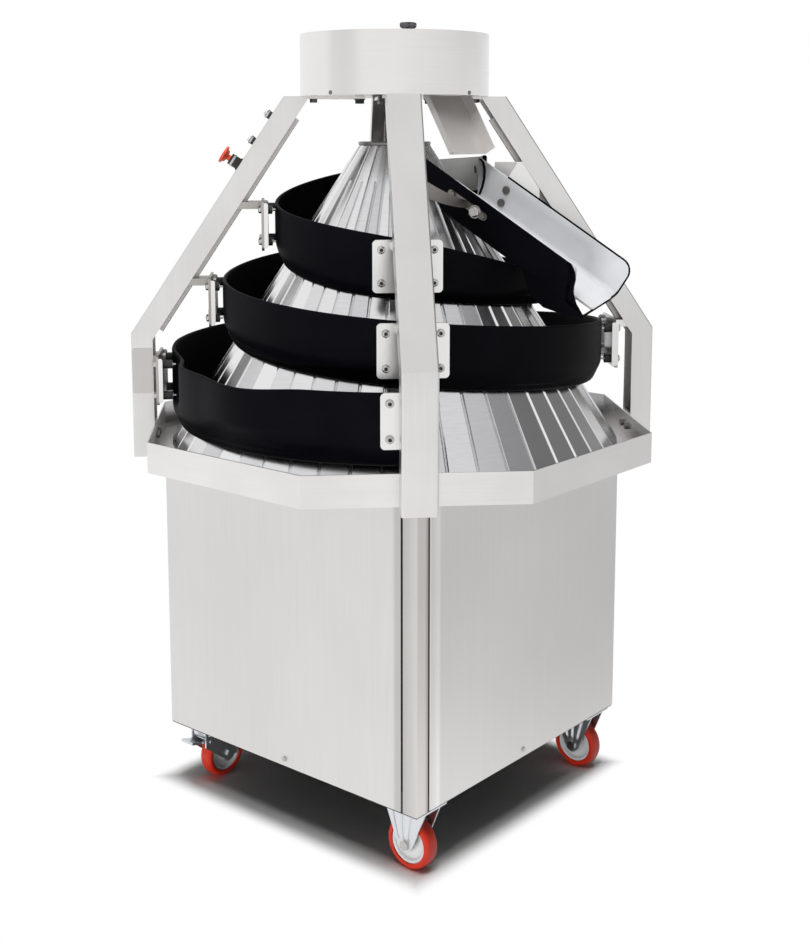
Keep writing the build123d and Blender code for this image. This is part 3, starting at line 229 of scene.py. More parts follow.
def coat(name, light, dark, roughness, ior=1.5, grainMm=2.5, specular=0.5):
    # Paint, plastic or rubber: soft clouds in the colour and a fine grain that breaks up the gloss.
    # grainMm is drawn coarser than the real 0.2 to 0.5 mm so that it shows.
    material, tree, shader = newMaterial(name)
    place = addNode(tree, "TexCoord")["Object"]
    fine = {"Vector": place, "Scale": 1000 / grainMm, "Detail": coatLook["grainDetail"]}
    grain = addNode(tree, "TexNoise", fine)["Fac"]
    broad = {"Vector": place, "Scale": 1000 / coatLook["cloudMm"], "Detail": coatLook["cloudDetail"]}
    cloud = addNode(tree, "TexNoise", broad)["Fac"]
    stops = zip(coatLook["stops"], (dark, light))
    tone = addNode(tree, "ValToRGB", [cloud], stops=stops)["Color"]
    gloss = (*coatLook["glossOver"], roughness - coatLook["glossier"], roughness + coatLook["duller"])
    rough = addNode(tree, "MapRange", (grain, *gloss))[0]
    relief = {"Strength": coatLook["bump"], "Distance": coatLook["bumpMm"] / 1000, "Height": grain}
    bump = addNode(tree, "Bump", relief)[0]
    setInputs(tree, shader, {"IOR": ior, "Specular IOR Level": specular, "Base Color": tone,
                             "Roughness": rough, "Normal": bump})
    return material


upGrain, levelGrain, anyGrain = (2.4, 2.4, 160), (160, 160, 2.4), (3, 3, 3)
finish = {
    # long upright streaks and a soft whitish sheen
    "brushed_stainless": brushedMetal("brushedStainlessSheet", "#e9e7e5", "#e0dedb", 0.36, upGrain),
    # dull grey, streaked level
    "frame_steel": brushedMetal("groundFrameSteel", "#a9a6a3", "#9c9996", 0.5, levelGrain),
    # nearly black and satin, with only a thin gleam
    "black_coating": coat("blackNonStickCoating", "#08080d", "#050509", 0.5, ior=1.36, specular=0.09),
    # bright plate with faint streaks
    "bracket_steel": brushedMetal("cutStainlessPlate", "#f4f3f2", "#ebeae8", 0.3, upGrain),
    # bright, with small hard highlights
    "bright_fasteners": brushedMetal("brightScrewSteel", "#d2d0cd", "#b5b3b0", 0.24, anyGrain),
    # white metal, softly streaked
    "cone_aluminium": brushedMetal("turnedAluminium", "#dcdcde", "#c9c9cb", 0.28, upGrain),
    # dark and oily, with a narrow highlight
    "ground_steel": brushedMetal("oiledShaftSteel", "#3d3937", "#2e2b29", 0.3, levelGrain),
    # sooty black with little gloss
    "bearing_iron": coat("blackenedCastIron", "#2a2a2b", "#202021", 0.5),
    # even blue-grey with a soft gloss
    "motor_paint": coat("greyMotorEnamel", "#5f6b75", "#56616a", 0.4),
    # pale grey, nearly matt
    "switch_box_paint": coat("palePowderCoat", "#cfcfcd", "#c6c6c4", 0.5),
    # smooth light grey with a satin gloss
    "chute_grey": coat("satinGreyChuteCoat", "#dbdddf", "#d3d5d7", 0.38),
    # greyed metal with a blurred highlight
    "collar_steel": brushedMetal("dullNickelCollar", "#8f8d8b", "#777573", 0.35, anyGrain),
    # strong even colour under a clear gloss
    "red_plastic": coat("orangeRedStopPlastic", "#e2563c", "#d84b32", 0.3),
    # clear caps, which show as pale glossy discs
    "button_green": coat("clearStartCap", "#d9dad8", "#cfd0ce", 0.25),
    "button_red": coat("clearStopCap", "#dbd9d9", "#d1cfcf", 0.25),
    # deep black with a soft gloss
    "black_plastic": coat("blackPhenolic", "#1b1b1d", "#141416", 0.34),
    # bluish white metal, faintly streaked
    "zinc_plate": brushedMetal("brightZincPlate", "#e6e9ec", "#d3d6d9", 0.34, upGrain),
    # warm red, satin and slightly grainy
    "red_tread": coat("redPolyurethane", "#cf2f14", "#bf270f", 0.42, grainMm=1.6),
    # milky white, waxy
    "white_hub": coat("whiteNylon", "#e0e0e1", "#d6d6d7", 0.42),
}
# rolled sheet: smoother, with clear upright reflections
drumSheet = brushedMetal("rolledStainlessDrum", "#eceae9", "#e8e6e4", 0.22, levelGrain, scratch=0.015)
# folded sheet: bright rims, streaked level
traySheet = brushedMetal("foldedStainlessTray", "#efedec", "#e6e4e2", 0.34, levelGrain)
# satin sheet: broad soft tones without visible scratches, the corners a little warmer and darker
satin = {"roughness": 0.46, "grainMm": upGrain, "cloudMm": 420, "scratch": 0.03}
panelSheet = brushedMetal("satinPanelSheet", "#e6e4e2", "#dedcda", **satin)
columnSheet = brushedMetal("dullCornerSheet", "#d8d4d1", "#cfcbc8", **satin)
cornerSheet = brushedMetal("foldedCornerSheet", "#d8d4d1", "#cfcbc8", **satin)
# The sheets beside the two corners that have a column carry painted light and shade: the front and rear
# panels have a band of painted shade at the joint, the other two a band of painted highlight, and the corner
# sheet's front and rear have painted shade toward the joint and a painted highlight at its edge. The panels'
# inner faces are painted nearly black, a painted shade that keeps the floor under the machine dark. Metres
# along the sheet from its middle.
bands = {"paintedShadeBand": (0.274, 0.282, 0.0, -0.22), "rise": (0.261, 0.268, 0.0, 1.0),
         "bright": (0.268, 0.292, 0.2, -0.02), "corner": (0.298, 0.33, 0.86, 1.1),
         "cornerSide": (0.298, 0.307, 0.6, 1.13), "insideOf": 0.3285, "paintedInnerShade": 0.06}
for material in (panelSheet, cornerSheet):
    tree = material.node_tree
    shader = tree.nodes["Principled BSDF"]
    place = addNode(tree, "TexCoord")["Object"]
    apart = addNode(tree, "VectorMath", [place], absolute)[0]
    apart = addNode(tree, "SeparateXYZ", [apart])
    onSheet = addNode(tree, "Math", (apart["X"], apart["Y"]), smaller)[0]
    front = addNode(tree, "Math", (apart["X"], apart["Y"]), lessThan)[0]
    if material is panelSheet:
        # painted shade band at the joint on the front and rear panels, painted highlight band on the other
        # two
        paintedShadeBand = addNode(tree, "MapRange", (onSheet, *bands["paintedShadeBand"]))[0]
        rise = addNode(tree, "MapRange", (onSheet, *bands["rise"]))[0]
        bright = addNode(tree, "MapRange", (onSheet, *bands["bright"]))[0]
        bright = addNode(tree, "Math", (rise, bright), multiply)[0]
        band = addNode(tree, "Mix", {0: front, 2: bright, 3: paintedShadeBand})[0]
        plan = addNode(tree, "SeparateXYZ", [place])
        corner = addNode(tree, "Math", (plan["X"], plan["Y"]), multiply)[0]
        corner = addNode(tree, "Math", (corner, 0.0), lessThan)[0]
        tone = addNode(tree, "Math", (band, corner, 1.0), multiplyAdd)[0]
        # painted shade: the inner faces, inside the sheets, are made nearly black so the floor below stays
        # dark
        depth = addNode(tree, "Math", (apart["X"], apart["Y"]), larger)[0]
        inside = addNode(tree, "Math", (depth, bands["insideOf"]), lessThan)[0]
        tone = addNode(tree, "Mix", {0: inside, 2: tone, 3: bands["paintedInnerShade"]})[0]
    else:
        # painted shade toward the joint on the corner sheet, and a painted highlight at its edge
        ahead = addNode(tree, "MapRange", (onSheet, *bands["corner"]))[0]
        beside = addNode(tree, "MapRange", (onSheet, *bands["cornerSide"]))[0]
        tone = addNode(tree, "Mix", {0: front, 2: beside, 3: ahead})[0]
    colour = shader.inputs["Base Color"].links[0].from_socket
    colour = addNode(tree, "VectorMath", {0: colour, "Scale": tone}, scale)[0]
    tree.links.new(colour, shader.inputs["Base Color"])
special = {
    "flour_drum": drumSheet, "drum_lid": drumSheet, "tray": traySheet, "corner_columns": cornerSheet,
    "post_bolts": finish["collar_steel"], "cone_cap": finish["collar_steel"],
    # painted shade: dark matt, so that the underside and the floor below it stay in shadow
    "deck_plate": coat("paintedShadeDeck", "#2b2b2c", "#232324", 0.55),
    "base_frame": coat("paintedShadeFrame", "#2b2b2c", "#232324", 0.55),
    # painted light on the deflector: a whitish copy of the sheet, only half metal, that stays bright in the
    # shade it lies in; the flour chute has a like half-metal copy, which shows little of the drum's shadow
    "deflector_plate": brushedMetal("paintedLightDeflector", "#f2f1f0", "#e9e8e7", 0.5, levelGrain,
                                    metallic=0.6),
    "flour_chute": brushedMetal("halfMetalFlourChute", "#ebe7e4", "#dfdbd8", 0.6, upGrain, metallic=0.5),
    # painted shade: a darker warm grey copy of the bracket finish for the front left brackets, which lie in
    # shade, with a wide sheen
    "track_brackets_front_left": brushedMetal("paintedShadeBracketBar", "#c2bdb9", "#b0aba7", 0.42, upGrain),
    # handled steel: brownish grey, its highlights blurred
    "chute_fasteners": brushedMetal("agedClampSteel", "#9b9591", "#857f7b", 0.4, anyGrain),
}
special.update({f"side_panel_{side}": panelSheet for side in ("front", "right", "rear", "left")})
for part in frame["record"]["subparts"]:
    mesh = nodes[part["node"]].data
    mesh.materials.clear()
    mesh.materials.append(special.get(part["node"], finish[part["material_slot"]]))
print("finishes assigned")


# Surfaces, in millimetres
zUp = np.array((0.0, 0.0, 1.0))


def outward(degrees):  # level unit vector at an angle about the machine's axis
    return np.array((math.cos(math.radians(degrees)), math.sin(math.radians(degrees)), 0.0))


def softCorners(outline, radius, steps=5):
    # Closed outlines (..., corners, 2) with each corner turned into a circular arc: a rational curve from a
    # point before the corner to one after it, weighted by the sine of half the corner's angle.
    p = np.asarray(outline, float)
    before, after = np.roll(p, 1, -2) - p, np.roll(p, -1, -2) - p
    lengthBefore = np.linalg.norm(before, axis=-1, keepdims=True)
    lengthAfter = np.linalg.norm(after, axis=-1, keepdims=True)
    before, after = before / lengthBefore, after / lengthAfter
    weight = np.sqrt(np.clip((1 - (before * after).sum(-1)) / 2, 0, 1))[..., None, None]
    reach = np.minimum(np.asarray(radius, float)[..., None], 0.49 * np.minimum(lengthBefore, lengthAfter))
    start, end = (p + before * reach)[..., None, :], (p + after * reach)[..., None, :]
    t = np.linspace(0, 1, steps)[:, None]
    pull = 2 * weight * t * (1 - t)
    curve = (1 - t) ** 2 * start + pull * p[..., None, :] + t ** 2 * end
    return (curve / ((1 - t) ** 2 + pull + t ** 2)).reshape(*p.shape[:-2], -1, 2)


def softBox(x, y, radius):  # rectangle over two ranges, with rounded corners
    return softCorners([(x[0], y[0]), (x[1], y[0]), (x[1], y[1]), (x[0], y[1])], np.broadcast_to(radius, 4))


def drawnOut(outline, origin, first, second, way, ends):
    # A flat outline in two directions from an origin, carried along a third one between its two ends.
    flat = np.asarray(origin) + outline[:, :1] * first + outline[:, 1:] * second
    return np.stack([flat + end * way for end in ends])


def unit(vectors):
    return vectors / np.linalg.norm(vectors, axis=-1, keepdims=True)


def axisFrame(axis):  # two unit vectors square to an axis, and the axis itself
    w = unit(np.asarray(axis, float))
    u = unit(np.cross(zUp if abs(w[2]) < 0.9 else (1, 0, 0), w))
    return u, np.cross(w, u), w


def turned(profile, origin, axis, steps=96):
    # Profile of (radius, height) turned about an axis: origin + radius (u cos t + v sin t) + height w.
    u, v, w = axisFrame(axis)
    t = np.linspace(0, 2 * np.pi, steps, endpoint=False)[:, None, None]
    radius, height = np.asarray(profile, float).T[..., None]
    return np.asarray(origin) + radius * (u * np.cos(t) + v * np.sin(t)) + height * w


def hexTurned(profile, origin, axis, steps=24):
    # Rows of (share of hexagon, radius, height) turned the same way. At share 1 the radius is that of the
    # flats, over the cosine of the angle from the middle of a flat.
    share, radius, height = np.asarray(profile, float).T
    u, v, w = axisFrame(axis)
    t = 2 * np.pi * np.arange(steps)[:, None] / steps
    hexagon = 1 / np.cos((t + np.pi / 6) % (np.pi / 3) - np.pi / 6)
    ring = (radius * (1 + share * (hexagon - 1)))[..., None]
    t = t[..., None]
    return np.asarray(origin) + ring * (u * np.cos(t) + v * np.sin(t)) + height[:, None] * w


def addSurface(name, grids, slot, replaced=(), material=None, body="machine_frame", capped=False, poles=False,
               sharp=32, tones=None):
    # Grids of points (rows, columns, 3), joined in quads. The last row and column join the first, except rows
    # capped at both ends and columns that end in poles. Doubles at seams and poles are merged, faces turned
    # outward, edges over the angle kept sharp.
    points, faces, start = [], [], 0
    for grid in grids:
        rows, columns = grid.shape[:2]
        i, j = np.meshgrid(np.arange(rows - capped), np.arange(columns - poles), indexing="ij")
        nextI, nextJ = (i + 1) % rows, (j + 1) % columns
        quads = [i * columns + j, nextI * columns + j, nextI * columns + nextJ, i * columns + nextJ]
        faces += (np.stack(quads, -1).reshape(-1, 4) + start).tolist()
        if capped:
            ring = np.arange(columns) + start
            faces += [ring[::-1].tolist(), (ring + (rows - 1) * columns).tolist()]
        points.append(grid.reshape(-1, 3))
        start += rows * columns
    mesh = bpy.data.meshes.new(name)
    mesh.from_pydata(np.concatenate(points) / 1000, [], faces)
    if tones is not None:
        mesh.attributes.new("stripTone", "FLOAT", "FACE").data.foreach_set("value", tones.astype(np.float32))
    bm = bmesh.new()
    bm.from_mesh(mesh)
    bmesh.ops.remove_doubles(bm, verts=bm.verts, dist=1e-6)
    bmesh.ops.recalc_face_normals(bm, faces=bm.faces)
    bm.to_mesh(mesh)
    bm.free()
    mesh.shade_smooth()
    mesh.set_sharp_from_angle(angle=math.radians(sharp))
    mesh.materials.append(material or finish[slot])
    piece = bpy.data.objects.new(name, mesh)
    scene.collection.objects.link(piece)
    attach(piece, body)
    if replaced:
        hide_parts(*replaced)


# Cone: flat strips between grooves that run down the slope; every second groove stops below the top.
cone = {"bottom": 731, "top": 1317, "foot": 450, "head": 70, "wall": 8.34, "inside": 1309, "bore": 20.02,
        "strips": 48, "groove": 4, "depth": 3, "slant": 1.19, "edge": 1.5, "shortTop": 1247, "runOut": 6,
        "flatShares": (0.25, 0.5, 0.75), "grooveShares": (1, 1, 0.35, 0), "seed": 4}
slope = (cone["foot"] - cone["head"]) / (cone["top"] - cone["bottom"])


def coneRadius(z):
    return cone["foot"] - (z - cone["bottom"]) * slope


# rows of the closed profile: down the outside, closer where the short grooves end, along the foot, up the
# inside, out through the bore
short = cone["shortTop"]
outZ = np.concatenate([np.linspace(cone["top"], short + 8, 8), np.linspace(short + 6, short - 6, 7),
                       np.linspace(short - 10, cone["bottom"], 40)])
inR = [coneRadius(z) - cone["wall"] for z in (cone["bottom"], cone["inside"])]
rowR = np.concatenate([coneRadius(outZ), inR, [cone["bore"], cone["bore"]]])
rowZ = np.concatenate([outZ, [cone["bottom"], cone["inside"], cone["inside"], cone["top"]]])
outside = np.arange(len(rowZ)) < len(outZ)
# columns of one strip: across its left groove in millimetres, over the flat in shares, up to its right groove
halfGroove, edge = cone["groove"] / 2, cone["edge"]
offset = np.array([0, halfGroove - edge, halfGroove, halfGroove + edge])
flatShare, deep = np.array(cone["flatShares"]), np.array(cone["grooveShares"])
pitch = 2 * np.pi / cone["strips"]
lefts = offset[:, None] / rowR[None]
edgeLeft, edgeRight = lefts[-1], pitch - lefts[-1]
flats = edgeLeft + flatShare[:, None] * (edgeRight - edgeLeft)
angle = np.concatenate([lefts, flats, pitch - lefts[:0:-1]])
cut = np.concatenate([deep, np.zeros(len(flatShare)), deep[:0:-1]])[:, None]
flatness = np.where(cut == 0, np.cos((edgeRight - edgeLeft) / 2) / np.cos(angle - pitch / 2), 1.0)
number = np.arange(cone["strips"])[:, None, None]
fade = np.clip((short - rowZ) / cone["runOut"] + 0.5, 0, 1)[None, None]
leftCut = np.where(number % 2 == 0, 1.0, fade)
rightCut = np.where(number % 2 == 1, 1.0, fade)
onLeft = (np.arange(len(cut)) < len(deep))[None, :, None]
depth = cone["depth"] * cone["slant"] * cut[None] * np.where(onLeft, leftCut, rightCut) * outside
radius = rowR * np.where(outside, flatness, 1.0)[None] - depth
turn = number * pitch + angle[None]
coneGrid = np.stack([radius * np.cos(turn), radius * np.sin(turn), np.broadcast_to(rowZ, turn.shape)], -1)
coneGrid = coneGrid.reshape(-1, len(rowZ), 3)
# each strip's own tone, from 0 to 1, is kept on its faces
stripTone = np.random.default_rng(cone["seed"]).random(cone["strips"])
tones = np.repeat(stripTone, len(cut) * len(rowZ))

# Turned and ground aluminium: bright strips, each ground by itself, so neighbours differ in tone and gloss.
# The lines are drawn 2 mm wide, coarser than real ones, to show.
coneLook = {"lineMm": 2, "longMm": 100 / 3, "grainShare": 0.35,
            "tones": ((0.1, "#c6c6c9"), (1.0, "#f2f2f3")), "gloss": (0.0, 1.3, 0.3, 0.18), "scratch": 0.08,
            "bumpMm": 0.4}
material, tree, shader = newMaterial("groundAluminiumStrips")
place = addNode(tree, "TexCoord")["Object"]
perMetre = [1000 / coneLook[size] for size in ("longMm", "longMm", "lineMm")]
lines = addNode(tree, "Mapping", {"Vector": place, "Scale": perMetre})[0]
grain = addNode(tree, "TexNoise", {"Vector": lines, "Scale": 1.0, "Detail": 3.0})["Fac"]
own = addNode(tree, "Attribute", settings={"attribute_name": "stripTone"})["Fac"]
both = addNode(tree, "Math", (grain, coneLook["grainShare"], own), multiplyAdd)[0]
colour = addNode(tree, "ValToRGB", [both], stops=coneLook["tones"])["Color"]
rough = addNode(tree, "MapRange", (both, *coneLook["gloss"]))[0]
relief = {"Strength": coneLook["scratch"], "Distance": coneLook["bumpMm"] / 1000, "Height": grain}
bump = addNode(tree, "Bump", relief)[0]
setInputs(tree, shader, {"Metallic": 1.0, "Base Color": colour, "Roughness": rough, "Normal": bump})
addSurface("groovedCone", [coneGrid], "cone_aluminium", ["cone"], material, "rotor", sharp=12, tones=tones)
print("cone made")


# Tracks: a J section with a rounded rim along the spiral; s is travel in degrees from the front right post.
track = {"angle": 315, "foot": 1037.9, "reach": 24, "start": -720, "end": 280, "wall": 8, "lip": 9, "gap": 2,
         "play": 3, "lines": (904, 905, 924, 966, 1011, 1058, 1100, 1062, 1148, 1208, 1272, 1295, 1302),
         "tall": 120, "footTaller": 14, "endShorter": 20, "rimRound": 3.6, "footRound": 24, "bendRound": 8,
         "pocket": (-697, -662, 15), "pinch": (-653, -629, 17), "crest": (-643, -622, -600, -500, 18),
         "swings": ((-530, -370, 24), (-170, -30, 34)), "swell": 0.3, "droop": 0.4, "shoulder": (56, 0.6),
         "undercut": 24, "undercutRise": 1.6, "undercutIn": 0.75, "undercutRounds": (0.7, 0.5),
         "shoulderStep": 3, "step": 1.5,
         "spans": {"lower": (-720, -360.1), "middle": (-360, -0.1), "upper": (0, 280)}}
spiralRadius = coneRadius(track["foot"]) + track["wall"] + track["gap"] + track["play"]
spiralPitch = (cone["foot"] + track["reach"] - spiralRadius) / 2


def ease(x):
    x = np.clip(x, 0, 1)
    return x * x * (3 - 2 * x)


def hump(s, first, last):  # one smooth bump of height 1 between two places
    x = np.clip((s - first) / (last - first), 0, 1)
    return np.sin(np.pi * x) ** 2


def wallLine(s):  # Catmull-Rom curve through the heights given for each quarter turn
    p = np.array(track["lines"], float)
    q = (np.asarray(s, float) - track["start"]) / 90
    i = np.clip(np.floor(q).astype(int), 0, len(p) - 2)
    x = q - i
    p0, p1, p2, p3 = p[np.maximum(i - 1, 0)], p[i], p[i + 1], p[np.minimum(i + 2, len(p) - 1)]
    return p1 + 0.5 * x * (p2 - p0 + x * (2 * p0 - 5 * p1 + 4 * p2 - p3 + x * (3 * (p1 - p2) + p3 - p0)))


def spiralLine(s):
    return spiralRadius - spiralPitch * np.asarray(s, float) / 360


def trackRadius(s):  # the spiral, wider where the walls swing out on the right side
    return spiralLine(s) + sum(reach * hump(s, first, last) for first, last, reach in track["swings"])


def pocketBulge(s):  # the inlet pocket's swelling and the pinch after it
    pocket, pinch = track["pocket"], track["pinch"]
    return pocket[2] * hump(s, *pocket[:2]) - pinch[2] * hump(s, *pinch[:2])


def rimHeight(s):
    riseFrom, riseTo, fallFrom, fallTo, rise = track["crest"]
    up = ease((s - riseFrom) / (riseTo - riseFrom))
    return wallLine(s) + rise * up * (1 - ease((s - fallFrom) / (fallTo - fallFrom)))


def trackLow(s):  # the wall's foot, never lower than where it would touch the cone
    s = np.asarray(s, float)
    onFoot = track["tall"] + track["footTaller"] * (-360 - s) / 360
    tall = np.where(s < -360, onFoot, track["tall"] - track["endShorter"] * np.maximum(s, 0) / track["end"])
    free = spiralLine(s) - track["wall"] - track["gap"] - track["play"]
    return np.maximum(wallLine(s) - tall, cone["bottom"] + (cone["foot"] - free) / slope)


for name, (first, last) in track["spans"].items():
    s = np.linspace(first, last, round((last - first) / track["step"]) + 1)
    outer, bulge, low = trackRadius(s), pocketBulge(s) + track["swell"], trackLow(s)
    inner = outer - track["wall"]
    top = rimHeight(s) - track["droop"] * np.maximum(bulge, track["swell"])
    tip = coneRadius(low) + track["gap"]
    lip, lipIn = low + track["lip"], tip - track["lip"] * slope
    shoulder = low + np.minimum(track["shoulder"][0], track["shoulder"][1] * (top - low))
    undercut = np.minimum(outer - tip, track["undercut"])
    # the section's corners, down the outside and up the inside
    under, bendAt = outer - track["undercutIn"] * undercut, low + track["undercutRise"] * undercut
    across = [outer + bulge, outer + bulge, outer, under, tip, lipIn, inner, inner + bulge, inner + bulge]
    upDown = [top, shoulder, bendAt, low, low, lip, lip, shoulder - track["shoulderStep"], top]
    one = np.ones(len(s))
    rim, bend = track["rimRound"] * one, track["bendRound"] * one
    footRound = np.minimum(track["footRound"] - track["wall"], 0.5 * (inner - lipIn))
    bendRound, underRound = (share * undercut for share in track["undercutRounds"])
    rounds = np.stack([rim, bend, bendRound, underRound, one, one, footRound, bend, rim], -1)
    section = softCorners(np.stack([np.stack(across, -1), np.stack(upDown, -1)], -1), rounds, 6)
    turn = np.radians(track["angle"] - s)[:, None]
    grid = np.stack([section[..., 0] * np.cos(turn), section[..., 0] * np.sin(turn), section[..., 1]], -1)
    addSurface(f"track{name.capitalize()}", [grid], "black_coating", [f"track_{name}"], capped=True, sharp=40)
print("tracks made")


# Jack screws of the brackets: dog point, shank with a lock nut behind the plate, washer and hexagon head.
post = {"angles": {"front_left": 225, "front_right": 315, "rear_right": 45, "rear_left": 135},
        "bend": (525, 948), "head": (219, 1411)}
jack = {"turns": {"front_right": (-720, -360, 0), "front_left": (-630, -270, 90),
                  "rear_left": (-540, -180, 180), "rear_right": (-450, -90)},
        "plate": 98, "plateHalf": 64, "plateOver": 2, "plateUnder": 16, "sheet": 5, "standoff": 22,
        "postInside": 482.5, "across": 48, "fromEdge": 18, "point": 2, "pointLong": 5, "pointFree": 0.5,
        "shank": 5, "nutFlats": 6.2, "nut": 5.5, "free": 0.1, "sleeve": 8.6, "sleeveFree": (1, 0.4),
        "head": ((0, 8, 0), (0, 8, 1.2), (1, 6.2, 1.2), (1, 6.2, 5.2), (0, 4.6, 6.4), (0, 3.5, 6.4),
                 (0, 3.1, 2.6), (0, 0, 2.6)),
        "socket": ((0, 2.7), (3.3, 2.7), (3.3, 3.2), (0, 3.2)),
        "flange": 8, "flangeSheet": 3, "flangeInset": 5, "flangeSunk": 0.2, "flangeRound": (5, 0.3, 0.3, 5)}
screws, sockets, sleeves, flanges = [], [], [], []
for name, travels in jack["turns"].items():
    for s in travels:
        top = float(wallLine(s)) + jack["plateOver"]
        tall = min(jack["plate"], top - float(trackLow(s)) - jack["plateUnder"])
        inner = float(trackRadius(s)) + jack["standoff"]
        pressed = inner + jack["sheet"] > jack["postInside"]
        inner = jack["postInside"] - jack["sheet"] if pressed else inner
        u, v, w = axisFrame(outward(post["angles"][name]))
        face = inner + jack["sheet"]
        for across in ((-1,) if pressed else (-1, 1)):
            aside = across * jack["across"]
            beside = s - math.degrees(math.atan2(aside, float(trackRadius(s))))
            wallAt = float(trackRadius(beside) + pocketBulge(beside)) + track["swell"]
            tip = math.sqrt(wallAt ** 2 - (abs(aside) - jack["point"]) ** 2) + jack["pointFree"]
            start = min(tip + jack["pointLong"], face - jack["nut"])
            nutEnd = inner - jack["free"]
            nutStart = max(nutEnd - jack["nut"], start + jack["free"])
            point, shank, flat = jack["point"], jack["shank"], jack["nutFlats"]
            rows = [(0, 0, tip), (0, point, tip), (0, point, start), (0, shank, start), (0, shank, nutStart),
                    (1, flat, nutStart), (1, flat, nutEnd), (0, shank, nutEnd), (0, shank, face)]
            rows += [(hexagon, wide, face + up) for hexagon, wide, up in jack["head"]]
            tubeFrom, tubeTo = start + jack["sleeveFree"][0], nutStart - jack["sleeveFree"][1]
            tube = [(shank, tubeFrom), (jack["sleeve"], tubeFrom), (jack["sleeve"], tubeTo), (shank, tubeTo)]
            for rise in (-1, 1):
                centre = u * aside + zUp * (top - tall / 2 + rise * (tall / 2 - jack["fromEdge"]))
                screws.append(hexTurned(rows, centre, w))
                sockets.append(turned(jack["socket"], centre + w * face, w, 6))
                if not pressed:
                    sleeves.append(turned(tube, centre, w, 24))
            if not pressed:
                # folded edge of the bracket plate: its outline in (outward, up) drawn out sideways
                ends = (top - tall + jack["flangeInset"], top - jack["flangeInset"])
                reach = (inner - jack["flange"], inner + jack["flangeSunk"])
                outline = softBox(reach, ends, jack["flangeRound"])
                sides = (across * (jack["plateHalf"] - jack["flangeSheet"]), across * jack["plateHalf"])
                flanges.append(drawnOut(outline, (0, 0, 0), w, zUp, u, sides))
# painted shade: a dark disc sunk in each screw head's socket
addSurface("paintedSocketShade", sockets, "black_plastic", poles=True, sharp=25)
addSurface("jackSleeves", sleeves, "bearing_iron")
addSurface("bracketFlanges", flanges, "bracket_steel", capped=True)
addSurface("jackScrews", screws, "bright_fasteners", ["track_screws"], poles=True, sharp=25)
print("jack screws made:", len(screws))


# Castor wheels: crowned tread and a dished hub with a thin rim, both turned about the axle.
wheel = {"tread": [(38, -15), (44.5, -16), (50, -10), (50, 10), (44.5, 16), (38, 15)],
         "treadRound": (1, 3, 6, 6, 3, 1),
         "hub": [(6.05, -17), (13, -17), (14, -9), (18, -6), (30, -6), (33, -12.5), (37.6, -13),
                 (37.6, 13), (33, 12.5), (30, 6), (18, 6), (14, 9), (13, 17), (6.05, 17)],
         "hubRound": (0.5, 1.5, 2, 3, 3, 2, 1, 1, 2, 3, 3, 2, 1.5, 0.5),
         "places": {"front_right": ((277, -277, 50), (0, -1, 0)), "rear_right": ((277, 277, 50), (0, 1, 0)),
                    "front_left": ((-275, -241, 50), (1, 0, 0)), "rear_left": ((-275, 309, 50), (1, 0, 0))}}
tread = softCorners(wheel["tread"], wheel["treadRound"])
hub = softCorners(wheel["hub"], wheel["hubRound"])
for name, (centre, axle) in wheel["places"].items():
    title = name.title().replace("_", "")
    rim, core = turned(tread, centre, axle), turned(hub, centre, axle)
    addSurface(f"tread{title}", [rim], "red_tread", [f"wheel_tread_{name}"], body=f"wheel_{name}")
    addSurface(f"hub{title}", [core], "white_hub", [f"wheel_hub_{name}"], body=f"wheel_{name}")
print("wheels made")


# Pressed forks of the fixed castors: each leg is a sheet with upright ribs, wide above and round at the axle.
fork = {"plateZ": 124, "plate": (50, 42.5, 4), "plateRound": 6, "axleZ": 50, "axleRound": 15, "axle": 6,
        "topHalf": 48, "lowHalf": 16, "taperFrom": 46, "legAt": 21.25, "sheet": 3.5, "columns": 41,
        "ribsAt": (-0.5, 0.0, 0.5), "ribWide": 0.12, "ribHigh": 3.4, "ribFrom": 58, "ribRise": 14,
        "nut": 8.6, "nutHigh": 4, "centres": ((277, -277), (277, 277))}
z = np.concatenate([fork["axleZ"] - fork["axleRound"] * np.cos(np.linspace(0, 1.3, 12)),
                    np.linspace(fork["axleZ"] - 2, fork["plateZ"], 24)])[:, None]
rounded = np.sqrt(np.maximum(fork["axleRound"] ** 2 - (z - fork["axleZ"]) ** 2, 0))
share = (z - fork["taperFrom"]) / (fork["plateZ"] - fork["taperFrom"])
taper = fork["lowHalf"] + (fork["topHalf"] - fork["lowHalf"]) * share
halfWide = np.maximum(np.where(share < 0, rounded, np.maximum(taper, rounded)), 0.05)
across = np.linspace(-1, 1, fork["columns"])[None]
ribs = sum(np.exp(-((across - ribAt) / fork["ribWide"]) ** 2) for ribAt in fork["ribsAt"])
ribs = fork["ribHigh"] * ribs * ease((z - fork["ribFrom"]) / fork["ribRise"])
outFace = fork["legAt"] + fork["sheet"] / 2
nutEnd = outFace + fork["nutHigh"]
nut, axle = fork["nut"], fork["axle"]
axleRows = [(0, 0, -nutEnd), (1, nut, -nutEnd), (1, nut, -outFace), (0, axle, -outFace),
            (0, axle, outFace), (1, nut, outFace), (1, nut, nutEnd), (0, 0, nutEnd)]
halfX, halfY, thick = fork["plate"]
plate = softBox((-halfX, halfX), (-halfY, halfY), fork["plateRound"])
legs, plates, axles = [], [], []
for x, y in fork["centres"]:
    for side in (-1, 1):
        front = np.stack(np.broadcast_arrays(x + halfWide * across, y + side * (outFace + ribs), z), -1)
        rear = front - np.array((0, side * fork["sheet"], 0))
        legs.append(np.concatenate([front, rear[:, ::-1]], 1))
    levels = (fork["plateZ"], fork["plateZ"] + thick)
    plates.append(drawnOut(plate, (x, y, 0), (1, 0, 0), (0, 1, 0), zUp, levels))
    axles.append(hexTurned(axleRows, (x, y, fork["axleZ"]), (0, 1, 0)))
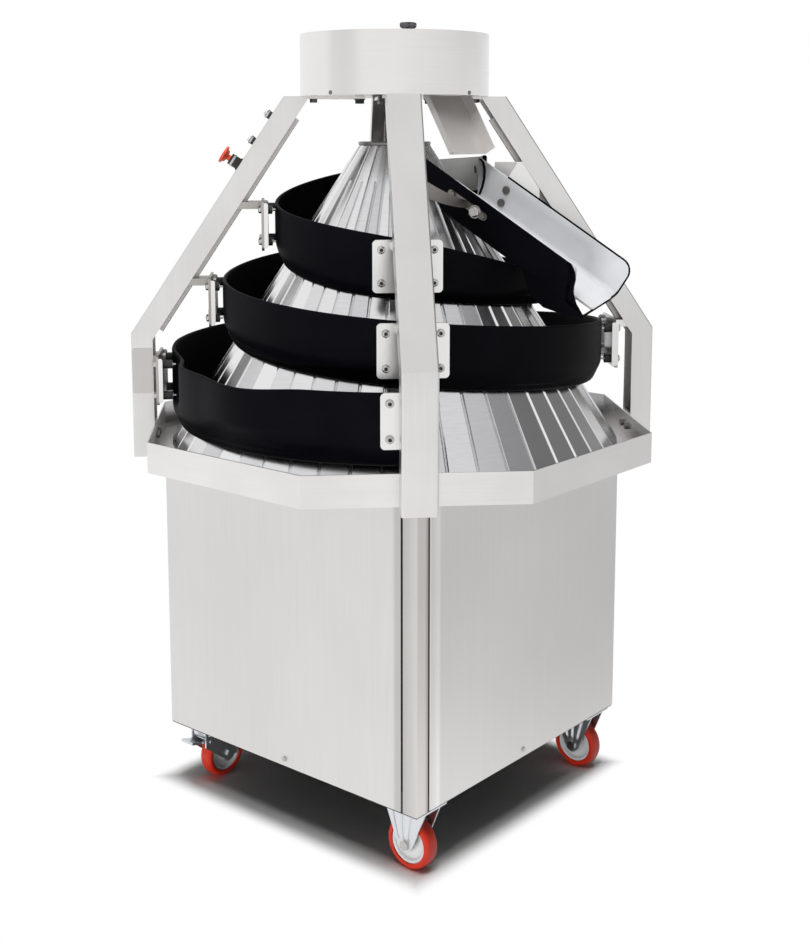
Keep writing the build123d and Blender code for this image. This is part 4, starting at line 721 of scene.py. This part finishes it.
addSurface("castorForks", legs, "zinc_plate", ["fixed_castor_brackets"], capped=True, sharp=35)
addSurface("castorPlates", plates, "zinc_plate", capped=True)
addSurface("castorAxles", axles, "bright_fasteners", poles=True, sharp=25)
print("castor forks made")


# Small fixings: pan screws low on the drum and a dark bolt in the end of each post's tab.
small = {"drumRadius": 186, "drumZ": 1415.5, "drumTurns": (0, 90, 180, 270),
         "pan": ((0, -1), (4, -1), (4, 0.6), (2.6, 2.2), (0, 2.6)), "tabRadius": 69, "tabZ": 1406,
         "bolt": ((0, 0, -1), (0, 11, -1), (0, 11, 1.6), (1, 8.2, 1.6), (1, 8.2, 8), (0, 8, 9), (0, 0, 9))}
pans = []
for degrees in small["drumTurns"]:
    out = outward(degrees)
    pans.append(turned(small["pan"], out * small["drumRadius"] + zUp * small["drumZ"], out, 24))
addSurface("drumScrews", pans, "collar_steel", poles=True, sharp=50)
bolts = []
for degrees in post["angles"].values():
    spot = outward(degrees) * small["tabRadius"] + zUp * small["tabZ"]
    bolts.append(hexTurned(small["bolt"], spot, -zUp))
addSurface("tabBolts", bolts, "bearing_iron", poles=True, sharp=25)
print("small fixings made")


# Outlet chute: black edging along the far wall's top, round its end and along the end of the floor.
chute = {"inset": 153, "aside": -40, "angle": 12, "slope": 0.63, "crease": 1253.5, "width": 124, "roll": 34,
         "far": 76, "sheet": 4, "from": 102, "end": 410, "corner": 24, "bend": 12, "bendFrom": 10,
         "bead": 2.2, "guideSheet": 3, "guideSunk": 0.2, "sealHalf": 2.25, "sealSunk": 0.5, "sealHigh": 2.5,
         "guideEnd": [(326, 33.2), (338, 24), (347, 14), (351, 2), (353, -8), (357, -18), (366, -31)],
         "flareEnd": [(338, 33.2), (352, 24), (360, 14), (364, 2), (369, -8), (384, -22), (411, -35)],
         "skirtTop": [(262, -28), (290, -28), (318, -28), (344, -28), (366, -29), (386, -24), (408, -33.5)],
         "skirtLow": [(262, -30), (284, -50), (308, -63), (336, -66), (362, -58), (388, -47), (412, -37)],
         "seal": [(60, 1290), (67, 1284), (71, 1269), (70, 1250), (66, 1234), (60, 1219)]}
fall = math.atan2(chute["slope"], 1)
level = outward(chute["angle"])
along = level * math.cos(fall) - zUp * math.sin(fall)
side = np.cross(zUp, level)
lift = np.cross(along, side)
origin = np.array((spiralRadius - chute["inset"], chute["aside"], chute["crease"]))


def onChute(down, across, up):  # a place down the chute, across it and off its floor
    return origin + down * along + across * side + up * lift


middle = chute["sheet"] / 2
farTop, rollLow = chute["far"] * math.cos(fall), chute["roll"] * math.cos(fall)
farWall, end, corner, bend = chute["width"] - middle, chute["end"], chute["corner"], chute["bend"]
# path of the edging: straight, a quarter round, down the end and round the crease, along the floor
wide, tight = np.linspace(0, np.pi / 2, 12), np.linspace(0, np.pi / 2, 8)
floorLine = np.linspace(chute["width"] - 2 * bend, -1, 16)
path = [(np.linspace(chute["from"], end - corner, 30), farWall, farTop),
        (end - corner * (1 - np.sin(wide)), farWall, farTop - corner * (1 - np.cos(wide))),
        (end, farWall - bend * (1 - np.cos(tight)), chute["bendFrom"] - bend * np.sin(tight)),
        (end, floorLine, -middle - rollLow * (1 - floorLine / chute["width"]))]
path = np.concatenate([np.stack(np.broadcast_arrays(*stretch), -1) for stretch in path])
line = onChute(path[:, :1], path[:, 1:2], path[:, 2:])
way = unit(np.gradient(line, axis=0))
first = unit(np.cross(way, side + 0.6 * lift))
second = np.cross(way, first)
around = np.linspace(0, 2 * np.pi, 14, endpoint=False)[None, :, None]
bead = line[:, None] + chute["bead"] * (first[:, None] * np.cos(around) + second[:, None] * np.sin(around))
addSurface("chuteEdging", [bead], "black_coating", capped=True, sharp=60)
# black flare that carries the guide down to the floor's end, and below it a black skirt that is painted shade
# over the cone behind: two edge lines joined for each
thickness = np.repeat((chute["guideSunk"], -chute["guideSheet"]), 2)[None, :, None]
sheets = []
for near, far in (("guideEnd", "flareEnd"), ("skirtLow", "skirtTop")):
    edges = np.stack([np.array(chute[name], float) for name in (near, far, far, near)], 1)
    sheets.append(onChute(edges[..., :1], thickness, edges[..., 1:]))
addSurface("guideFlareAndShadeSkirt", sheets, "black_coating", capped=True, sharp=50)
# black seal strip on the far wall where the deflector meets the chute: a flat band along a curved line
seal = np.array(chute["seal"], float)
fine = np.linspace(0, len(seal) - 1, 40)
seal = np.stack([np.interp(fine, np.arange(len(seal)), seal[:, i]) for i in (0, 1)], -1)[:, None]
band = np.array((-1, 1, 1, -1))[None, :, None] * chute["sealHalf"]
offWall = np.repeat((chute["sealSunk"], -chute["sealHigh"]), 2)[None, :, None]
face = np.array((origin[0], origin[1], 0)) + side * (chute["width"] - chute["sheet"])
sealGrid = face + (seal[..., :1] + band) * level + offWall * side + seal[..., 1:] * zUp
addSurface("chuteSeal", [sealGrid], "black_coating", capped=True, sharp=50)
print("chute edging made")


# Clamp of the guide: a strap from the front right post that narrows to the guide, and a hexagon bolt.
clamp = {"post": (235.5, -188.8, 1240), "postTall": 28, "guide": (203, -33, 1207), "guideTall": 15, "sag": 3,
         "sheet": 4, "boltAt": (126, -9.5, 8),
         "bolt": ((0, 0, 0), (0, 12.5, 0), (0, 12.5, 1.8), (1, 9.5, 1.8), (1, 9.5, 8), (0, 8, 9.2),
                  (0, 0, 9.2))}
share = np.linspace(0, 1, 24)[:, None]
first, last = np.array(clamp["post"], float), np.array(clamp["guide"], float)
line = first + (last - first) * share - zUp * clamp["sag"] * np.sin(np.pi * share)
tall = (clamp["postTall"] + (clamp["guideTall"] - clamp["postTall"]) * share)[:, None]
across = unit(np.cross(last - first, zUp))
corners = np.array(((-1, -1), (1, -1), (1, 1), (-1, 1)), float)[None] / 2
strap = line[:, None] + corners[..., :1] * clamp["sheet"] * across + corners[..., 1:] * tall * zUp
addSurface("guideStrap", [strap], "bright_fasteners", material=special["chute_fasteners"], capped=True)
bolt = hexTurned(clamp["bolt"], onChute(*clamp["boltAt"]), -side)
addSurface("clampBolt", [bolt], "bright_fasteners", poles=True, sharp=25)
# painted shade for the slots cut in the deflector: thin dark rounded plates just off its inner face
slot = {"at": ((252, 1266), (276, 1243)), "half": (2.5, 7.5), "round": 2.2, "lean": 0.25, "inside": 12.5,
        "thin": 0.5}
halfX, halfY = slot["half"]
outline = softBox((-halfX, halfX), (-halfY, halfY), slot["round"])
outline[:, 0] -= slot["lean"] * outline[:, 1]
slots = []
for travel, up in slot["at"]:
    out = outward(track["angle"] - travel)
    inside = float(spiralLine(travel)) - slot["inside"]
    faces = (inside + slot["thin"], inside - slot["thin"])
    slots.append(drawnOut(outline, zUp * up, np.cross(out, zUp), zUp, out, faces))
addSurface("paintedSlotShade", slots, "bearing_iron", capped=True)
print("clamp and slots made")


# Flat bars inside the arms: a rounded bar section in (depth, aside) carried straight up the arm's line.
bar = {"depth": (30, 51), "aside": (-5, 5), "ends": (34, 533), "round": 1.5}
(bendOut, bendUp), (headOut, headUp) = post["bend"], post["head"]
lean = math.atan2(bendOut - headOut, headUp - bendUp)
section = softBox(bar["depth"], bar["aside"], bar["round"])
bars = []
for degrees in post["angles"].values():
    out = outward(degrees)
    upArm = zUp * math.cos(lean) - out * math.sin(lean)
    inward = -out * math.cos(lean) - zUp * math.sin(lean)
    foot = out * bendOut + zUp * bendUp
    bars.append(drawnOut(section, foot, inward, np.cross(zUp, out), upArm, bar["ends"]))
addSurface("armBars", bars, "brushed_stainless", material=columnSheet, capped=True)
# cheek plates of the lowest bracket, one on each side of the front left post: outlines in (outward, up)
cheek = {"outward": (484, 523), "up": (829, 919), "aside": (31.9, 34), "round": 3}
arm = outward(post["angles"]["front_left"])
outline = softBox(cheek["outward"], cheek["up"], cheek["round"])
beside = np.cross(zUp, arm)
cheeks = [drawnOut(outline, (0, 0, 0), arm, zUp, beside * hand, cheek["aside"]) for hand in (-1, 1)]
addSurface("bracketCheeks", cheeks, "brushed_stainless", material=columnSheet, capped=True)
print("arm bars made")


# Controls on the front left arm: black collars with bright rings and a mushroom stop button, all turned about
# the arm's outward line.
control = {"heights": {"estop": 1278, "start": 1323, "stop": 1373},
           "stopHead": ((0, 8), (5.9, 8), (5.9, 28), (10.5, 28.6), (12, 30), (13.6, 33), (17.2, 34), (18, 35),
                        (18, 36.6), (16.4, 39), (11, 39.8), (0, 40)),
           "stopCollar": ((6.1, 0.1), (13.4, 0.1), (13.4, 3), (11.4, 3.6), (11.4, 21.6), (11, 22), (6.1, 22)),
           "stopRing": ((11.2, 13), (12.4, 13.4), (12.4, 17.6), (11.2, 18)),
           "collar": ((5.3, 0.1), (8, 0.1), (8, 9.6), (7.6, 10), (5.3, 10)),
           "ring": ((7.8, 5), (8.8, 5.3), (8.8, 9.2), (7.8, 9.5))}
normal = arm * math.cos(lean) + zUp * math.sin(lean)
collars, rings = [], []
for name, up in control["heights"].items():
    spot = arm * (bendOut - (up - bendUp) * math.tan(lean)) + zUp * up
    collars.append(turned(control["stopCollar" if name == "estop" else "collar"], spot, normal, 32))
    rings.append(turned(control["stopRing" if name == "estop" else "ring"], spot, normal, 32))
    if name == "estop":
        mushroom = turned(control["stopHead"], spot, normal, 48)
addSurface("controlCollars", collars, "black_plastic", ["control_collars"], sharp=40)
addSurface("controlRings", rings, "bright_fasteners", sharp=40)
addSurface("stopMushroom", [mushroom], "red_plastic", ["estop_button"], body="estop", poles=True, sharp=50)
print("controls made")


# Knob of the lid: six lobes on a round neck, its stud and nut below the lid. Rows of (share of lobe, radius,
# height): the radius grows by the lobe's share of a cosine.
knob = {"at": (20.7, 17.3), "lobe": 0.11, "lobes": 6, "steps": 72,
        "rows": ((0, 0, 1521), (0, 8.4, 1521), (0, 8.4, 1526), (0, 5, 1526), (0, 5, 1530.1), (0, 9.6, 1530.1),
                 (0, 9.6, 1541.5), (0.5, 12.4, 1543), (1, 15, 1545.4), (1, 15.8, 1547.5), (1, 15.8, 1552),
                 (1, 14.6, 1554), (0.7, 11, 1555), (0, 0, 1555))}
lobeShare, radius, z = np.array(knob["rows"], float).T
around = 2 * np.pi * np.arange(knob["steps"])[:, None] / knob["steps"]
radius = radius * (1 + knob["lobe"] * lobeShare * np.cos(knob["lobes"] * around))
x, y = knob["at"]
grid = np.stack(np.broadcast_arrays(x + radius * np.cos(around), y + radius * np.sin(around), z), -1)
# black nickel: dark, with clear highlights on the lobes
blackNickel = brushedMetal("blackNickelKnob", "#6f6e71", "#565557", 0.22, anyGrain)
addSurface("lobedKnob", [grid], "black_plastic", ["lid_knob"], blackNickel, "knob", poles=True, sharp=45)
print("knob made")
